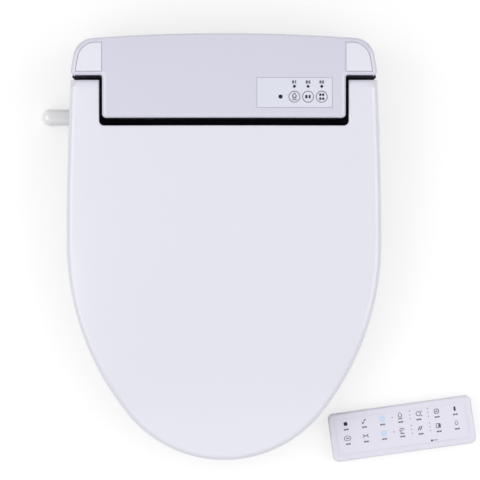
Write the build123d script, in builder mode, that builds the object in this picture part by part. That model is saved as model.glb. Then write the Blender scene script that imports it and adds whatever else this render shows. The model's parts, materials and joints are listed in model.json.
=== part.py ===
"""Electric bidet seat with soft-close seat and lid, built as separate pieces.

Millimetres. Z is up from the bowl rim, +Y runs to the back, +X is the right-hand side seen from above.
The origin is midway between the two bowl bolts, on the bowl rim.
"""

import os
from math import cos, pi, radians, sin, sqrt

from build123d import *

os.makedirs("parts", exist_ok=True)

# Plan of the lid and seat
HALF_WIDTH = 196.3
TIP_Y = -454.0
NOSE_R = 155.0
NOSE_SPREAD = 51.0
EAR_HALF = 191.5
EAR_END_Y = 19.6
EAR_DRAW = 1.0
EAR_WALL = 5.6
EAR_ROUND = 14.0

# Hinge line
HINGE_Y = 0.0
HINGE_Z = 102.0
SHAFT_R = 5.0
RUN = 0.06
SLIDE = 0.3

# Plan of the housing
BACK_Y = 72.6
BACK_SAG = 7.1
REAR_HALF = 188.5
SIDE_LEAN = 7.5
CORNER_R = 25.0
SHOULDER_Y = 21.2
SHOULDER_R = 3.0
NECK_HALF = 149.0
NECK_FRONT_Y = -31.0
NECK_CORNER_R = 5.0
WING_STEP = 2.5
WING_FRONT_Y = -42.0
WALL = 3.0
WING_HALF = REAR_HALF - WING_STEP
BACK_HALF = REAR_HALF - SIDE_LEAN

# Heights of the housing
FLOOR_TOP = 10.0
FLOOR_UNDER = 7.0
PARTING_Z = 47.0
COVER_TOP_Z = 131.0
COVER_APEX_Y = 13.0
COVER_LONG_R = 350.0
COVER_EDGE_R = 5.0

# Sideways crown shared by lid and housing
CROWN_AXIS_Z = -1870.0
CROWN_HALF_ANGLE = 7.5

# Lid skin
LID_HINGE_TOP = 126.0
LID_SLOPE = 5.6
LID_LONG_R = 4300.0
LID_EDGE_R = 8.0
SKIRT_DRAFT = 3.0
NOTCH_GAP = 3.8
NOTCH_FRONT_GAP = 9.2
NOTCH_HALF = NECK_HALF + NOTCH_GAP
NOTCH_Y = NECK_FRONT_Y - NOTCH_FRONT_GAP
NOTCH_R = 6.0
NOTCH_EDGE_R = 1.8
RIM_TIP_Z = 40.0
RIM_REAR_Z = 71.0
RIM_REAR_Y = -45.0
EAR_RIM_Z = 86.0

# Seat ring
RING_INSET = 6.0
RING_REAR_Y = -46.0
RING_GAP = 2.5
RING_THICK = 24.0
HOLE_Y = -235.0
HOLE_HALF = 104.0
HOLE_LONG = 138.0

# Rows along the hinge line, measured outwards from the housing's neck
DAMPER_L = 33.8
DAMPER_R = 11.0
DAMPER_OUT = NECK_HALF - WALL - 0.2
DAMPER_IN = DAMPER_OUT - DAMPER_L
SHAFT_IN = DAMPER_IN + 6.5
ARM_THICK = 9.0
ARM_IN = NOTCH_HALF + WALL + 0.8
ARM_OUT = ARM_IN + ARM_THICK
LUG_THICK = 10.0
LUG_IN = ARM_OUT + 2.4
LUG_OUT = LUG_IN + LUG_THICK
SHAFT_END = LUG_OUT + 3.0
ARM_LUG_R = 12.0
LID_LUG_R = 11.0
SEAT_KEY = 10.4
LID_KEY = 7.0
STUB_R = 3.0

# Control panel
PANEL_X = 86.5
PANEL_Y = -0.3
PANEL_W = 92.2
PANEL_D = 36.2
PANEL_PROUD = 0.4
PANEL_SUNK = 1.6
BUTTON_R = 6.3
BUTTON_PITCH = 16.7
BUTTON_X = 102.8
BUTTON_Y = -5.4
BUTTON_TRAVEL = 0.8
LED_Y = 7.2
LED_R = 1.8
EYE_X = 69.2
EYE_R = 2.6
PANEL_BOARD_TOP = 117.8
BOARD_THICK = 1.6

# Spray nozzles and their racks
NOZZLE_TILT = 20.0
NOZZLE_X = 13.0
NOZZLE_R = 6.0
NOZZLE_TIP = (-85.0, 8.0)
NOZZLE_TRAVEL = 70.0
NOZZLE_LENGTH = 158.0
JET_AT = 7.0
JET_PITCH = 3.5
JET_R = 0.9
PITCH_R = 9.0
TEETH = 12
ADDENDUM = 1.2
DEDENDUM = 1.6
RACK_LINE = 8.0
PINION_AT = 79.0
HOOD_CLEAR = 1.0
HOOD_FRONT_Y = -92.0

# Warm-air dryer
FAN_X = 70.0
FAN_Y = 44.0
FAN_R = 24.0
FAN_TOP = 36.0
DUCT_IN = 44.0
DUCT_OUT = 66.0
DUCT_LOW = 12.0
DUCT_HIGH = 24.0
DUCT_FRONT_Y = -86.0
SHEET = 1.5
HOOD_HALF = DUCT_OUT + HOOD_CLEAR + WALL

# Water inlet
INLET_Y = -28.0
INLET_Z = 29.0
INLET_R = 10.3
INLET_BORE = 6.0
INLET_STUB = 41.0
THREAD_R = 10.48
THREAD_L = 12.0
SPIGOT_R = 8.0
VALVE_W = 28.0
VALVE_SET_IN = 8.0

# Mounting plate
PLATE_HALF = 91.0
PLATE_DEPTH = 60.0
PLATE_THICK = 6.0
BOLT_SPACING = 140.0
BOLT_SLOT_R = 5.5
BOLT_SLOT = 30.0

# Handset, lying on the rim plane beside the seat
HANDSET_X = 222.0
HANDSET_Y = -416.0
HANDSET_TURN = 8.0
HANDSET_L = 180.0
HANDSET_W = 60.0
HANDSET_SPLIT = 10.0
HANDSET_TOP = 18.0
HANDSET_R = 7.0
CELL_R = 5.2
CELL_L = 44.0
CELL_LIFT = 0.1
CELL_SPACE = 0.8
CELL_END = 6.0

lid_centre_y = HINGE_Y + LID_LONG_R * sin(radians(LID_SLOPE))
lid_centre_z = LID_HINGE_TOP - LID_LONG_R * cos(radians(LID_SLOPE))


def save(piece, name):
    """Label a finished piece and write its file."""
    piece.part.label = name
    export_step(piece.part, f"parts/{name}.step")


def lid_z(y):
    """Height of the lid's skin along its middle."""
    return lid_centre_z + sqrt(LID_LONG_R**2 - (y - lid_centre_y) ** 2)


def cover_z(y):
    """Height of the housing's skin along its middle."""
    return COVER_TOP_Z - COVER_LONG_R + sqrt(COVER_LONG_R**2 - (y - COVER_APEX_Y) ** 2)


def across(height, x):
    """Height at x of a skin that is this high on the middle line."""
    return CROWN_AXIS_Z + sqrt((height - CROWN_AXIS_Z) ** 2 - x**2)


def rim_z(y):
    """Lower edge of the lid along its sides."""
    return RIM_TIP_Z + (y - TIP_Y) * (RIM_REAR_Z - RIM_TIP_Z) / (RIM_REAR_Y - TIP_Y)


def ring_top(y):
    """Upper face of the seat ring."""
    return rim_z(y) - RING_GAP


def ring_under(y):
    """Lower face of the seat ring."""
    return ring_top(y) - RING_THICK


def crowned_block(height, front, rear, drop=0.0, rear_round=0.0):
    """Solid below a skin that follows height(y) on the middle line and falls away to both sides."""
    tilt = radians(CROWN_HALF_ANGLE)
    start = Plane((0, 0, CROWN_AXIS_Z), x_dir=(0, 1, 0), z_dir=(cos(tilt), 0, sin(tilt)))
    top = [(y, height(y) - drop - CROWN_AXIS_Z) for y in (front, (front + rear) / 2, rear)]
    low = -CROWN_AXIS_Z - 60
    with BuildPart() as block:
        with BuildSketch(start) as section:
            with BuildLine():
                ThreePointArc(*top)
                Polyline(top[2], (rear, low), (front, low), top[0])
            make_face()
            if rear_round:
                fillet(section.vertices().sort_by(Axis.X)[-2:].sort_by(Axis.Y)[-1], rear_round)
        revolve(axis=Axis((0, 0, CROWN_AXIS_Z), (0, 1, 0)), revolution_arc=2 * CROWN_HALF_ANGLE)
    return block.part


def seat_outline(inset, rear_y):
    """Plan of lid and seat: round nose, full shoulders, sides drawn in towards the hinge."""
    spread = radians(NOSE_SPREAD)
    half, nose = HALF_WIDTH - inset, NOSE_R - inset
    tip = (0, TIP_Y + inset)
    nose_end = (nose * sin(spread), tip[1] + nose * (1 - cos(spread)))
    shoulder = (half - nose_end[0]) / (1 - sin(spread))
    widest = (half, nose_end[1] + shoulder * cos(spread))
    rear = (EAR_HALF - inset, rear_y)
    with BuildLine() as edge:
        TangentArc(tip, nose_end, tangent=(1, 0))
        TangentArc(nose_end, widest, tangent=(cos(spread), sin(spread)))
        TangentArc(widest, rear, tangent=(0, 1))
        Line(rear, (0, rear_y))
        mirror(about=Plane.YZ)
    make_face(edge.edges())


def near(plan, x, y):
    """Both mirrored corners of a plan that lie at x and y."""
    return [v for v in plan.vertices() if abs(abs(v.X) - x) < 0.01 and abs(v.Y - y) < 0.01]


def cover_outline(plan, inset):
    """Plan of the housing: wide across the back, narrower between the lid's ears."""
    half, neck = REAR_HALF - inset, NECK_HALF - inset
    corner = (BACK_HALF - inset, BACK_Y - BACK_SAG - inset)
    shoulder, front = SHOULDER_Y + inset, NECK_FRONT_Y + inset
    with BuildLine() as edge:
        TangentArc((0, BACK_Y - inset), corner, tangent=(1, 0))
        Polyline(corner, (half, shoulder), (neck, shoulder), (neck, front), (0, front))
        mirror(about=Plane.YZ)
    make_face(edge.edges())
    fillet(near(plan, *corner), CORNER_R - inset)
    fillet(near(plan, half, shoulder), NECK_CORNER_R - inset)
    fillet(near(plan, neck, shoulder), SHOULDER_R + inset)
    fillet(near(plan, neck, front), NECK_CORNER_R - inset)


def chassis_outline(plan, inset):
    """Plan of the lower housing: the back of the cover, then wings that run forward under the hinges."""
    half, wing = REAR_HALF - inset, WING_HALF - inset
    corner = (BACK_HALF - inset, BACK_Y - BACK_SAG - inset)
    step, front = SHOULDER_Y + inset, WING_FRONT_Y + inset
    with BuildLine() as edge:
        TangentArc((0, BACK_Y - inset), corner, tangent=(1, 0))
        Polyline(corner, (half, step), (wing, step), (wing, front), (0, front))
        mirror(about=Plane.YZ)
    make_face(edge.edges())
    fillet(near(plan, *corner), CORNER_R - inset)
    fillet(near(plan, wing, front), NECK_CORNER_R - inset)


def rear_edge_y(x):
    """Back edge of the housing at x."""
    return BACK_Y - BACK_SAG * (x / BACK_HALF) ** 2


def ring_band(low, high):
    """Closed side view between the ring's faces, low above the lower one and high below the upper one."""
    front = TIP_Y - 20
    Polygon(
        (front, ring_under(front) + low),
        (0, ring_under(0) + low),
        (0, ring_top(0) - high),
        (front, ring_top(front) - high),
        align=None,
    )


# Nozzle line: s runs up and back from the resting tip, o rises square to it
nozzle_tilt = radians(NOZZLE_TILT)
nozzle_back = (0, cos(nozzle_tilt), sin(nozzle_tilt))
nozzle_up = (0, -sin(nozzle_tilt), cos(nozzle_tilt))


def on_nozzle(s, o):
    """Side-view point at distance s behind the tip and o above the nozzle's axis."""
    y = NOZZLE_TIP[0] + s * cos(nozzle_tilt) - o * sin(nozzle_tilt)
    z = NOZZLE_TIP[1] + s * sin(nozzle_tilt) + o * cos(nozzle_tilt)
    return (y, z)


def nozzle_side(x):
    """Plane of the nozzle's side view at x."""
    return Plane((x, *NOZZLE_TIP), x_dir=nozzle_back, z_dir=(1, 0, 0))


def nozzle_end(x, s):
    """Plane square to the nozzle at x, at distance s behind the tip."""
    return Plane((x, *on_nozzle(s, 0)), x_dir=(1, 0, 0), z_dir=nozzle_back)


pinion_y, pinion_z = on_nozzle(PINION_AT, RACK_LINE + PITCH_R)

# Screws that close the housing
boss_r = 5.0
boss_spots = [
    (-150, rear_edge_y(150) - WALL - boss_r + 1.2),
    (136, rear_edge_y(136) - WALL - boss_r + 1.2),
    (-100, NECK_FRONT_Y + WALL + boss_r - 1.5),
    (100, NECK_FRONT_Y + WALL + boss_r - 1.5),
]
screw_seat = 33.0
screw_r = 1.9
screw_end = PARTING_Z + 9

# Filter drawer and release button in the side walls
filter_y, filter_z = 2.0, 22.0
filter_w, filter_h, filter_depth = 30.0, 22.0, 36.0
filter_in = WING_HALF - filter_depth
release_y, release_z = 6.0, 22.0
release_w, release_h = 20.0, 11.0

# Cord gland in the right wing
gland_y, gland_z, gland_r, cord_r = -26.0, 25.0, 6.5, 3.7

rail_in, rail_out, lip_in = PLATE_HALF + 6.0, PLATE_HALF + 9.0, PLATE_HALF + 2.5
hood_back_z, hood_front_z = 40.0, 28.5

# Lower housing
with BuildPart() as base_chassis:
    with BuildSketch() as plan:
        chassis_outline(plan, 0)
    extrude(amount=PARTING_Z)
    with BuildSketch(Plane.XY.offset(FLOOR_TOP)) as plan:
        chassis_outline(plan, WALL)
    extrude(amount=PARTING_Z - WALL - FLOOR_TOP, mode=Mode.SUBTRACT)
    with BuildSketch(Plane.XY.offset(FLOOR_TOP)) as plan:
        cover_outline(plan, WALL)
    extrude(amount=PARTING_Z, mode=Mode.SUBTRACT)
    with BuildSketch() as plan:
        chassis_outline(plan, WALL)
    extrude(amount=FLOOR_UNDER, mode=Mode.SUBTRACT)
    with BuildSketch(Plane.YZ):
        Polygon(
            (WING_FRONT_Y + 0.5, 4),
            (HOOD_FRONT_Y, 4),
            (HOOD_FRONT_Y, hood_front_z),
            (WING_FRONT_Y + 0.5, hood_back_z),
            align=None,
        )
    extrude(amount=HOOD_HALF, both=True)
    with BuildSketch(Plane.YZ):
        Polygon(
            (WING_FRONT_Y, 0),
            (HOOD_FRONT_Y - 1, 0),
            (HOOD_FRONT_Y - 1, hood_front_z - WALL),
            (WING_FRONT_Y, hood_back_z - WALL),
            align=None,
        )
    extrude(amount=HOOD_HALF - WALL, both=True, mode=Mode.SUBTRACT)
    with BuildSketch(Plane.XZ.offset(-WING_FRONT_Y - WALL - 1)):
        with Locations((0, (FLOOR_TOP + hood_back_z - WALL) / 2)):
            Rectangle(2 * (HOOD_HALF - WALL), hood_back_z - WALL - FLOOR_TOP)
    extrude(amount=WALL + 2, mode=Mode.SUBTRACT)
    with BuildSketch(Plane.XY.offset(FLOOR_TOP)):
        with Locations(boss_spots):
            Circle(boss_r)
    extrude(amount=PARTING_Z - FLOOR_TOP)
    with BuildSketch(Plane.XY.offset(FLOOR_UNDER)):
        with Locations(boss_spots):
            Circle(4.2)
    extrude(amount=screw_seat - FLOOR_UNDER, mode=Mode.SUBTRACT)
    with BuildSketch(Plane.XY.offset(FLOOR_UNDER)):
        with Locations(boss_spots):
            Circle(screw_r + SLIDE)
    extrude(amount=PARTING_Z, mode=Mode.SUBTRACT)
    with BuildSketch(Plane.YZ.offset(WING_HALF - WALL - 1)):
        with Locations((filter_y, filter_z)):
            Rectangle(filter_w + 2 * SLIDE, filter_h + 2 * SLIDE)
    extrude(amount=WALL + 2, mode=Mode.SUBTRACT)
    with BuildSketch(Plane.YZ.offset(-WING_HALF - 1)):
        with Locations((release_y, release_z)):
            Rectangle(release_w + 2 * SLIDE, release_h + 2 * SLIDE)
    extrude(amount=WALL + 2, mode=Mode.SUBTRACT)
    with BuildSketch(Plane.YZ.offset(-WING_HALF - 1)):
        with Locations((INLET_Y, INLET_Z)):
            Circle(SPIGOT_R + SLIDE)
    extrude(amount=WALL + 2, mode=Mode.SUBTRACT)
    with BuildSketch(Plane.YZ.offset(WING_HALF - WALL - 1)):
        with Locations((gland_y, gland_z)):
            Circle(gland_r + SLIDE)
    extrude(amount=WALL + 2, mode=Mode.SUBTRACT)
    with BuildSketch(Plane.XZ.offset(-PLATE_DEPTH / 2 + 5)):
        for side in (-1, 1):
            Polygon(
                (side * rail_in, FLOOR_UNDER),
                (side * rail_out, FLOOR_UNDER),
                (side * rail_out, 0.5),
                (side * lip_in, 0.5),
                (side * lip_in, 2.5),
                (side * rail_in, 2.5),
                align=None,
            )
    extrude(amount=PLATE_DEPTH - 10)
save(base_chassis, "base_chassis")

# Upper housing
cover_skin = crowned_block(cover_z, WING_FRONT_Y - 10, BACK_Y + 10)
cover_core = crowned_block(cover_z, WING_FRONT_Y - 10, BACK_Y + 10, drop=WALL)
cover_sunk = crowned_block(cover_z, WING_FRONT_Y - 10, BACK_Y + 10, drop=PANEL_SUNK)
cover_proud = crowned_block(cover_z, WING_FRONT_Y - 10, BACK_Y + 10, drop=-PANEL_PROUD)
cover_keys = crowned_block(cover_z, WING_FRONT_Y - 10, BACK_Y + 10, drop=-2 * PANEL_PROUD)

button_spots = [(BUTTON_X + i * BUTTON_PITCH, BUTTON_Y) for i in (-1, 0, 1)]
led_spots = [(x, LED_Y) for x, _ in button_spots]
cap_x = (REAR_HALF - 39.0, REAR_HALF - 7.0)
cap_y = (SHOULDER_Y + 4.9, BACK_Y - 11.4)
cap_lean = SIDE_LEAN * (cap_y[1] - cap_y[0]) / (BACK_Y - BACK_SAG - SHOULDER_Y)
cap_r = 22.0
seam = 0.5
panel_board_x, panel_board_y = PANEL_X + 0.5, PANEL_Y + 1.0
panel_board_w, panel_board_d = 86.0, 32.0
panel_posts = [(panel_board_x + i * 38, panel_board_y + j * 12) for i in (-1, 1) for j in (-1, 1)]
main_board_x, main_board_y, main_board_under = 30.0, 46.0, 100.0
main_board_w, main_board_d = 130.0, 38.0
main_posts = [(main_board_x + i * 60, main_board_y + j * 15) for i in (-1, 1) for j in (-1, 1)]


def cap_outline(side, grow):
    """Plan of a hinge cap: square inner edges, one large round corner at the back."""
    near_x, far_x = cap_x[0] - grow, cap_x[1] + grow
    front, rear = cap_y[0] - grow, cap_y[1] + grow
    outer = (side * (far_x - cap_lean), rear)
    with BuildSketch() as plan:
        Polygon((side * near_x, front), (side * far_x, front), outer, (side * near_x, rear), align=None)
        fillet(near(plan, abs(outer[0]), rear), cap_r + grow)
    return plan.sketch


with BuildPart() as cover_hollow:
    with BuildSketch(Plane.XY.offset(PARTING_Z)) as plan:
        cover_outline(plan, WALL)
    extrude(amount=120)
    add(cover_core, mode=Mode.INTERSECT)
    with BuildSketch(Plane.XY.offset(PANEL_BOARD_TOP)):
        with Locations(panel_posts):
            Circle(2.5)
    extrude(amount=60, mode=Mode.SUBTRACT)
    with BuildSketch(Plane.XY.offset(main_board_under + BOARD_THICK)):
        with Locations(main_posts):
            Circle(3)
    extrude(amount=60, mode=Mode.SUBTRACT)
    with BuildSketch(Plane.XY.offset(PARTING_Z)):
        with Locations(boss_spots):
            Circle(boss_r)
    extrude(amount=15, mode=Mode.SUBTRACT)

with BuildPart() as sunk_spaces:
    for side in (-1, 1):
        extrude(cap_outline(side, seam), amount=200)
    with BuildSketch():
        with Locations((PANEL_X, PANEL_Y)):
            Rectangle(PANEL_W + 2 * SLIDE, PANEL_D + 2 * SLIDE)
    extrude(amount=200)
    add(cover_sunk, mode=Mode.SUBTRACT)

with BuildPart() as top_cover:
    with BuildSketch(Plane.XY.offset(PARTING_Z)) as plan:
        cover_outline(plan, 0)
    extrude(amount=120)
    add(cover_skin, mode=Mode.INTERSECT)
    fillet(top_cover.faces().sort_by(Axis.Z)[-1].edges(), COVER_EDGE_R)
    add(sunk_spaces.part, mode=Mode.SUBTRACT)
    with BuildSketch(Plane.XY.offset(PARTING_Z)):
        with Locations(button_spots):
            Circle(BUTTON_R + SLIDE)
        with Locations(led_spots):
            Circle(LED_R - 0.6)
        with Locations((EYE_X, BUTTON_Y)):
            Circle(EYE_R - 0.6)
    extrude(amount=100, mode=Mode.SUBTRACT)
    add(cover_hollow.part, mode=Mode.SUBTRACT)
    with BuildSketch(Plane.XY.offset(PARTING_Z)):
        with Locations(boss_spots):
            Circle(screw_r)
    extrude(amount=screw_end - PARTING_Z + 1, mode=Mode.SUBTRACT)
    for side in (-1, 1):
        with BuildSketch(Plane.YZ.offset(side * (NECK_HALF - WALL / 2))):
            with Locations((HINGE_Y, HINGE_Z)):
                Circle(SHAFT_R + 2 * SLIDE)
            with Locations((HINGE_Y, (HINGE_Z + PARTING_Z) / 2)):
                Rectangle(2 * (SHAFT_R + 2 * SLIDE), HINGE_Z - PARTING_Z)
        extrude(amount=WALL / 2 + 1, both=True, mode=Mode.SUBTRACT)
save(top_cover, "top_cover")

# Hinge caps on the rear corners
with BuildPart() as hinge_cap_left:
    extrude(cap_outline(-1, 0), amount=200)
    add(cover_proud, mode=Mode.INTERSECT)
    add(cover_sunk, mode=Mode.SUBTRACT)
save(hinge_cap_left, "hinge_cap_left")

with BuildPart() as hinge_cap_right:
    extrude(cap_outline(1, 0), amount=200)
    add(cover_proud, mode=Mode.INTERSECT)
    add(cover_sunk, mode=Mode.SUBTRACT)
save(hinge_cap_right, "hinge_cap_right")

# Control panel
with BuildPart() as panel_plate:
    with BuildSketch():
        with Locations((PANEL_X, PANEL_Y)):
            Rectangle(PANEL_W, PANEL_D)
        with Locations(button_spots):
            Circle(BUTTON_R + SLIDE, mode=Mode.SUBTRACT)
        with Locations(led_spots):
            Circle(LED_R, mode=Mode.SUBTRACT)
        with Locations((EYE_X, BUTTON_Y)):
            Circle(EYE_R, mode=Mode.SUBTRACT)
    extrude(amount=200)
    add(cover_proud, mode=Mode.INTERSECT)
    add(cover_sunk, mode=Mode.SUBTRACT)
save(panel_plate, "panel_plate")

with BuildPart() as panel_lenses:
    with BuildSketch():
        with Locations(led_spots):
            Circle(LED_R)
        with Locations((EYE_X, BUTTON_Y)):
            Circle(EYE_R)
    extrude(amount=200)
    add(cover_proud, mode=Mode.INTERSECT)
    add(cover_sunk, mode=Mode.SUBTRACT)
save(panel_lenses, "panel_lenses")

key_flange_top = across(cover_z(BUTTON_Y), button_spots[2][0] + BUTTON_R + 2) - WALL - SLIDE
switch_top = PANEL_BOARD_TOP + 3.0
key_foot = switch_top + BUTTON_TRAVEL + 0.1


def push_button(spot):
    """Round panel button with a hidden flange that keeps it in its hole."""
    with BuildPart() as key:
        with BuildSketch(Plane.XY.offset(key_flange_top - 1)):
            with Locations(spot):
                Circle(BUTTON_R)
        extrude(amount=60)
        add(cover_keys, mode=Mode.INTERSECT)
        fillet(key.faces().sort_by(Axis.Z)[-1].edges(), 0.6)
        with BuildSketch(Plane.XY.offset(key_flange_top)):
            with Locations(spot):
                Circle(BUTTON_R + 1)
        extrude(amount=-1.2)
        with BuildSketch(Plane.XY.offset(key_foot)):
            with Locations(spot):
                Circle(2)
        extrude(amount=key_flange_top - key_foot)
    return key.part


with BuildPart() as button_left:
    add(push_button(button_spots[0]))
save(button_left, "button_left")

with BuildPart() as button_middle:
    add(push_button(button_spots[1]))
save(button_middle, "button_middle")

with BuildPart() as button_right:
    add(push_button(button_spots[2]))
save(button_right, "button_right")

with BuildPart() as panel_board:
    with BuildSketch(Plane.XY.offset(PANEL_BOARD_TOP)):
        with Locations((panel_board_x, panel_board_y)):
            Rectangle(panel_board_w, panel_board_d)
    extrude(amount=-BOARD_THICK)
save(panel_board, "panel_board")

with BuildPart() as tact_switches:
    with BuildSketch(Plane.XY.offset(PANEL_BOARD_TOP)):
        with Locations(button_spots):
            Rectangle(6, 6)
    extrude(amount=switch_top - PANEL_BOARD_TOP)
save(tact_switches, "tact_switches")

# Main control board, hung from the cover's posts
with BuildPart() as main_board:
    with BuildSketch(Plane.XY.offset(main_board_under)):
        with Locations((main_board_x, main_board_y)):
            Rectangle(main_board_w, main_board_d)
    extrude(amount=BOARD_THICK)
save(main_board, "main_board")

with BuildPart() as board_parts:
    with BuildSketch(Plane.XY.offset(main_board_under)):
        with Locations((main_board_x + 35, main_board_y)):
            Rectangle(34, 28)
    extrude(amount=-22)
    with BuildSketch(Plane.XY.offset(main_board_under)):
        with Locations((main_board_x + 2, main_board_y + 8)):
            Rectangle(20, 15)
    extrude(amount=-15)
    with BuildSketch(Plane.XY.offset(main_board_under)):
        with Locations((main_board_x - 22, main_board_y + 6), (main_board_x - 40, main_board_y + 6)):
            Circle(7)
    extrude(amount=-20)
save(board_parts, "board_parts")


# Hinge dampers in their brackets
def hinge_bracket(side):
    """Post on the chassis floor with a round socket for a damper."""
    with BuildPart() as post:
        with BuildSketch(Plane.YZ.offset(side * (DAMPER_IN + 3))):
            with Locations((HINGE_Y, HINGE_Z)):
                Circle(DAMPER_R + 2.5)
            with Locations((HINGE_Y, (HINGE_Z + FLOOR_TOP) / 2)):
                Rectangle(2 * DAMPER_R + 5, HINGE_Z - FLOOR_TOP)
            with Locations((HINGE_Y, HINGE_Z)):
                Circle(DAMPER_R + RUN, mode=Mode.SUBTRACT)
            with Locations((HINGE_Y, (HINGE_Z + FLOOR_TOP) / 2 - 8)):
                RectangleRounded(16, HINGE_Z - FLOOR_TOP - 40, 4, mode=Mode.SUBTRACT)
        extrude(amount=side * (DAMPER_OUT - DAMPER_IN - 6))
    return post.part


def hinge_damper(side):
    """Rotary damper: a drum with a blind bore for the hinge shaft."""
    with BuildPart() as drum:
        with BuildSketch(Plane.YZ.offset(side * DAMPER_IN)):
            with Locations((HINGE_Y, HINGE_Z)):
                Circle(DAMPER_R)
        extrude(amount=side * (DAMPER_OUT - DAMPER_IN))
        with BuildSketch(Plane.YZ.offset(side * (SHAFT_IN - 0.5))):
            with Locations((HINGE_Y, HINGE_Z)):
                Circle(SHAFT_R + RUN)
        extrude(amount=side * 60, mode=Mode.SUBTRACT)
    return drum.part


with BuildPart() as hinge_bracket_left:
    add(hinge_bracket(-1))
save(hinge_bracket_left, "hinge_bracket_left")

with BuildPart() as hinge_bracket_right:
    add(hinge_bracket(1))
save(hinge_bracket_right, "hinge_bracket_right")

with BuildPart() as lid_damper:
    add(hinge_damper(-1))
save(lid_damper, "lid_damper")

with BuildPart() as seat_damper:
    add(hinge_damper(1))
save(seat_damper, "seat_damper")

# Lid shaft on the left: free in the seat's arm, keyed to the lid
with BuildPart() as lid_shaft:
    with BuildSketch(Plane.YZ.offset(-SHAFT_IN)):
        with Locations((HINGE_Y, HINGE_Z)):
            Circle(SHAFT_R)
    extrude(amount=SHAFT_IN - LUG_IN + 0.5)
    with BuildSketch(Plane.YZ.offset(-LUG_IN + 0.5)):
        with Locations((HINGE_Y, HINGE_Z)):
            Rectangle(LID_KEY, LID_KEY)
    extrude(amount=LUG_IN - LUG_OUT - 0.7)
    with BuildSketch(Plane.YZ.offset(-LUG_OUT)):
        with Locations((HINGE_Y, HINGE_Z)):
            Circle(STUB_R)
    extrude(amount=LUG_OUT - SHAFT_END)
save(lid_shaft, "lid_shaft")

# Seat shaft on the right: keyed to the seat's arm, free in the lid
with BuildPart() as seat_shaft:
    with BuildSketch(Plane.YZ.offset(SHAFT_IN)):
        with Locations((HINGE_Y, HINGE_Z)):
            Circle(SHAFT_R)
    extrude(amount=LUG_OUT + 0.2 - SHAFT_IN)
    with BuildSketch(Plane.YZ.offset(ARM_IN - 0.3)):
        with Locations((HINGE_Y, HINGE_Z)):
            Rectangle(SEAT_KEY, SEAT_KEY)
    extrude(amount=ARM_OUT - ARM_IN + 0.6)
    with BuildSketch(Plane.YZ.offset(LUG_OUT)):
        with Locations((HINGE_Y, HINGE_Z)):
            Circle(STUB_R)
    extrude(amount=SHAFT_END - LUG_OUT)
save(seat_shaft, "seat_shaft")


def shaft_clip(side):
    """Retaining ring on the shaft's end stub."""
    with BuildPart() as ring:
        with BuildSketch(Plane.YZ.offset(side * (LUG_OUT + 0.5))):
            with Locations((HINGE_Y, HINGE_Z)):
                Circle(7)
                Circle(STUB_R, mode=Mode.SUBTRACT)
        extrude(amount=side * 1.2)
    return ring.part


with BuildPart() as lid_shaft_clip:
    add(shaft_clip(-1))
save(lid_shaft_clip, "lid_shaft_clip")

with BuildPart() as seat_shaft_clip:
    add(shaft_clip(1))
save(seat_shaft_clip, "seat_shaft_clip")

# Lid
hollow_rear = EAR_END_Y - EAR_WALL
lid_skin = crowned_block(lid_z, TIP_Y - 15, EAR_END_Y - EAR_DRAW, rear_round=EAR_ROUND)
lid_core = crowned_block(lid_z, TIP_Y - 15, hollow_rear, drop=WALL, rear_round=EAR_ROUND - WALL)
lid_low = RIM_TIP_Z - 5


def rim_polygon():
    """Side view of everything below the lid's lower edge."""
    Polygon(
        (TIP_Y - 30, 0),
        (TIP_Y - 30, rim_z(TIP_Y - 30)),
        (RIM_REAR_Y, RIM_REAR_Z),
        (RIM_REAR_Y + 25, EAR_RIM_Z),
        (60, EAR_RIM_Z),
        (60, 0),
        align=None,
    )


def notch_outline(grow):
    """Plan of the lid's cut-out around the housing's neck."""
    depth = 100
    with Locations((0, NOTCH_Y - grow + depth / 2)):
        RectangleRounded(2 * (NOTCH_HALF + grow), depth, NOTCH_R + grow)


def rim_edges(part):
    """Edges where the crowned skin of the lid meets its upright sides."""
    skin = [f for f in part.faces() if f.normal_at().Z > 0.3]
    edges = [e for f in skin for e in f.edges()]
    once = [e for e in edges if sum(e.is_same(o) for o in edges) == 1]
    return [e for e in once if abs(e.center().X) > 1 or e.center().Y < HINGE_Y]


def beside_neck(edge):
    """Whether a curved edge of the lid's skin borders the cut-out."""
    ends = (edge @ 0, edge @ 1)
    return all(abs(p.X) < NOTCH_HALF + 0.01 and p.Y > NOTCH_Y - 0.01 for p in ends)


with BuildPart() as lid_hollow:
    with BuildSketch(Plane.XY.offset(lid_low)):
        seat_outline(WALL, hollow_rear)
    extrude(amount=140, taper=SKIRT_DRAFT)
    add(lid_core, mode=Mode.INTERSECT)
    fillet(rim_edges(lid_hollow.part), LID_EDGE_R - WALL)
    with BuildSketch(Plane.XY):
        notch_outline(WALL)
    extrude(amount=200, mode=Mode.SUBTRACT)

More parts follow.
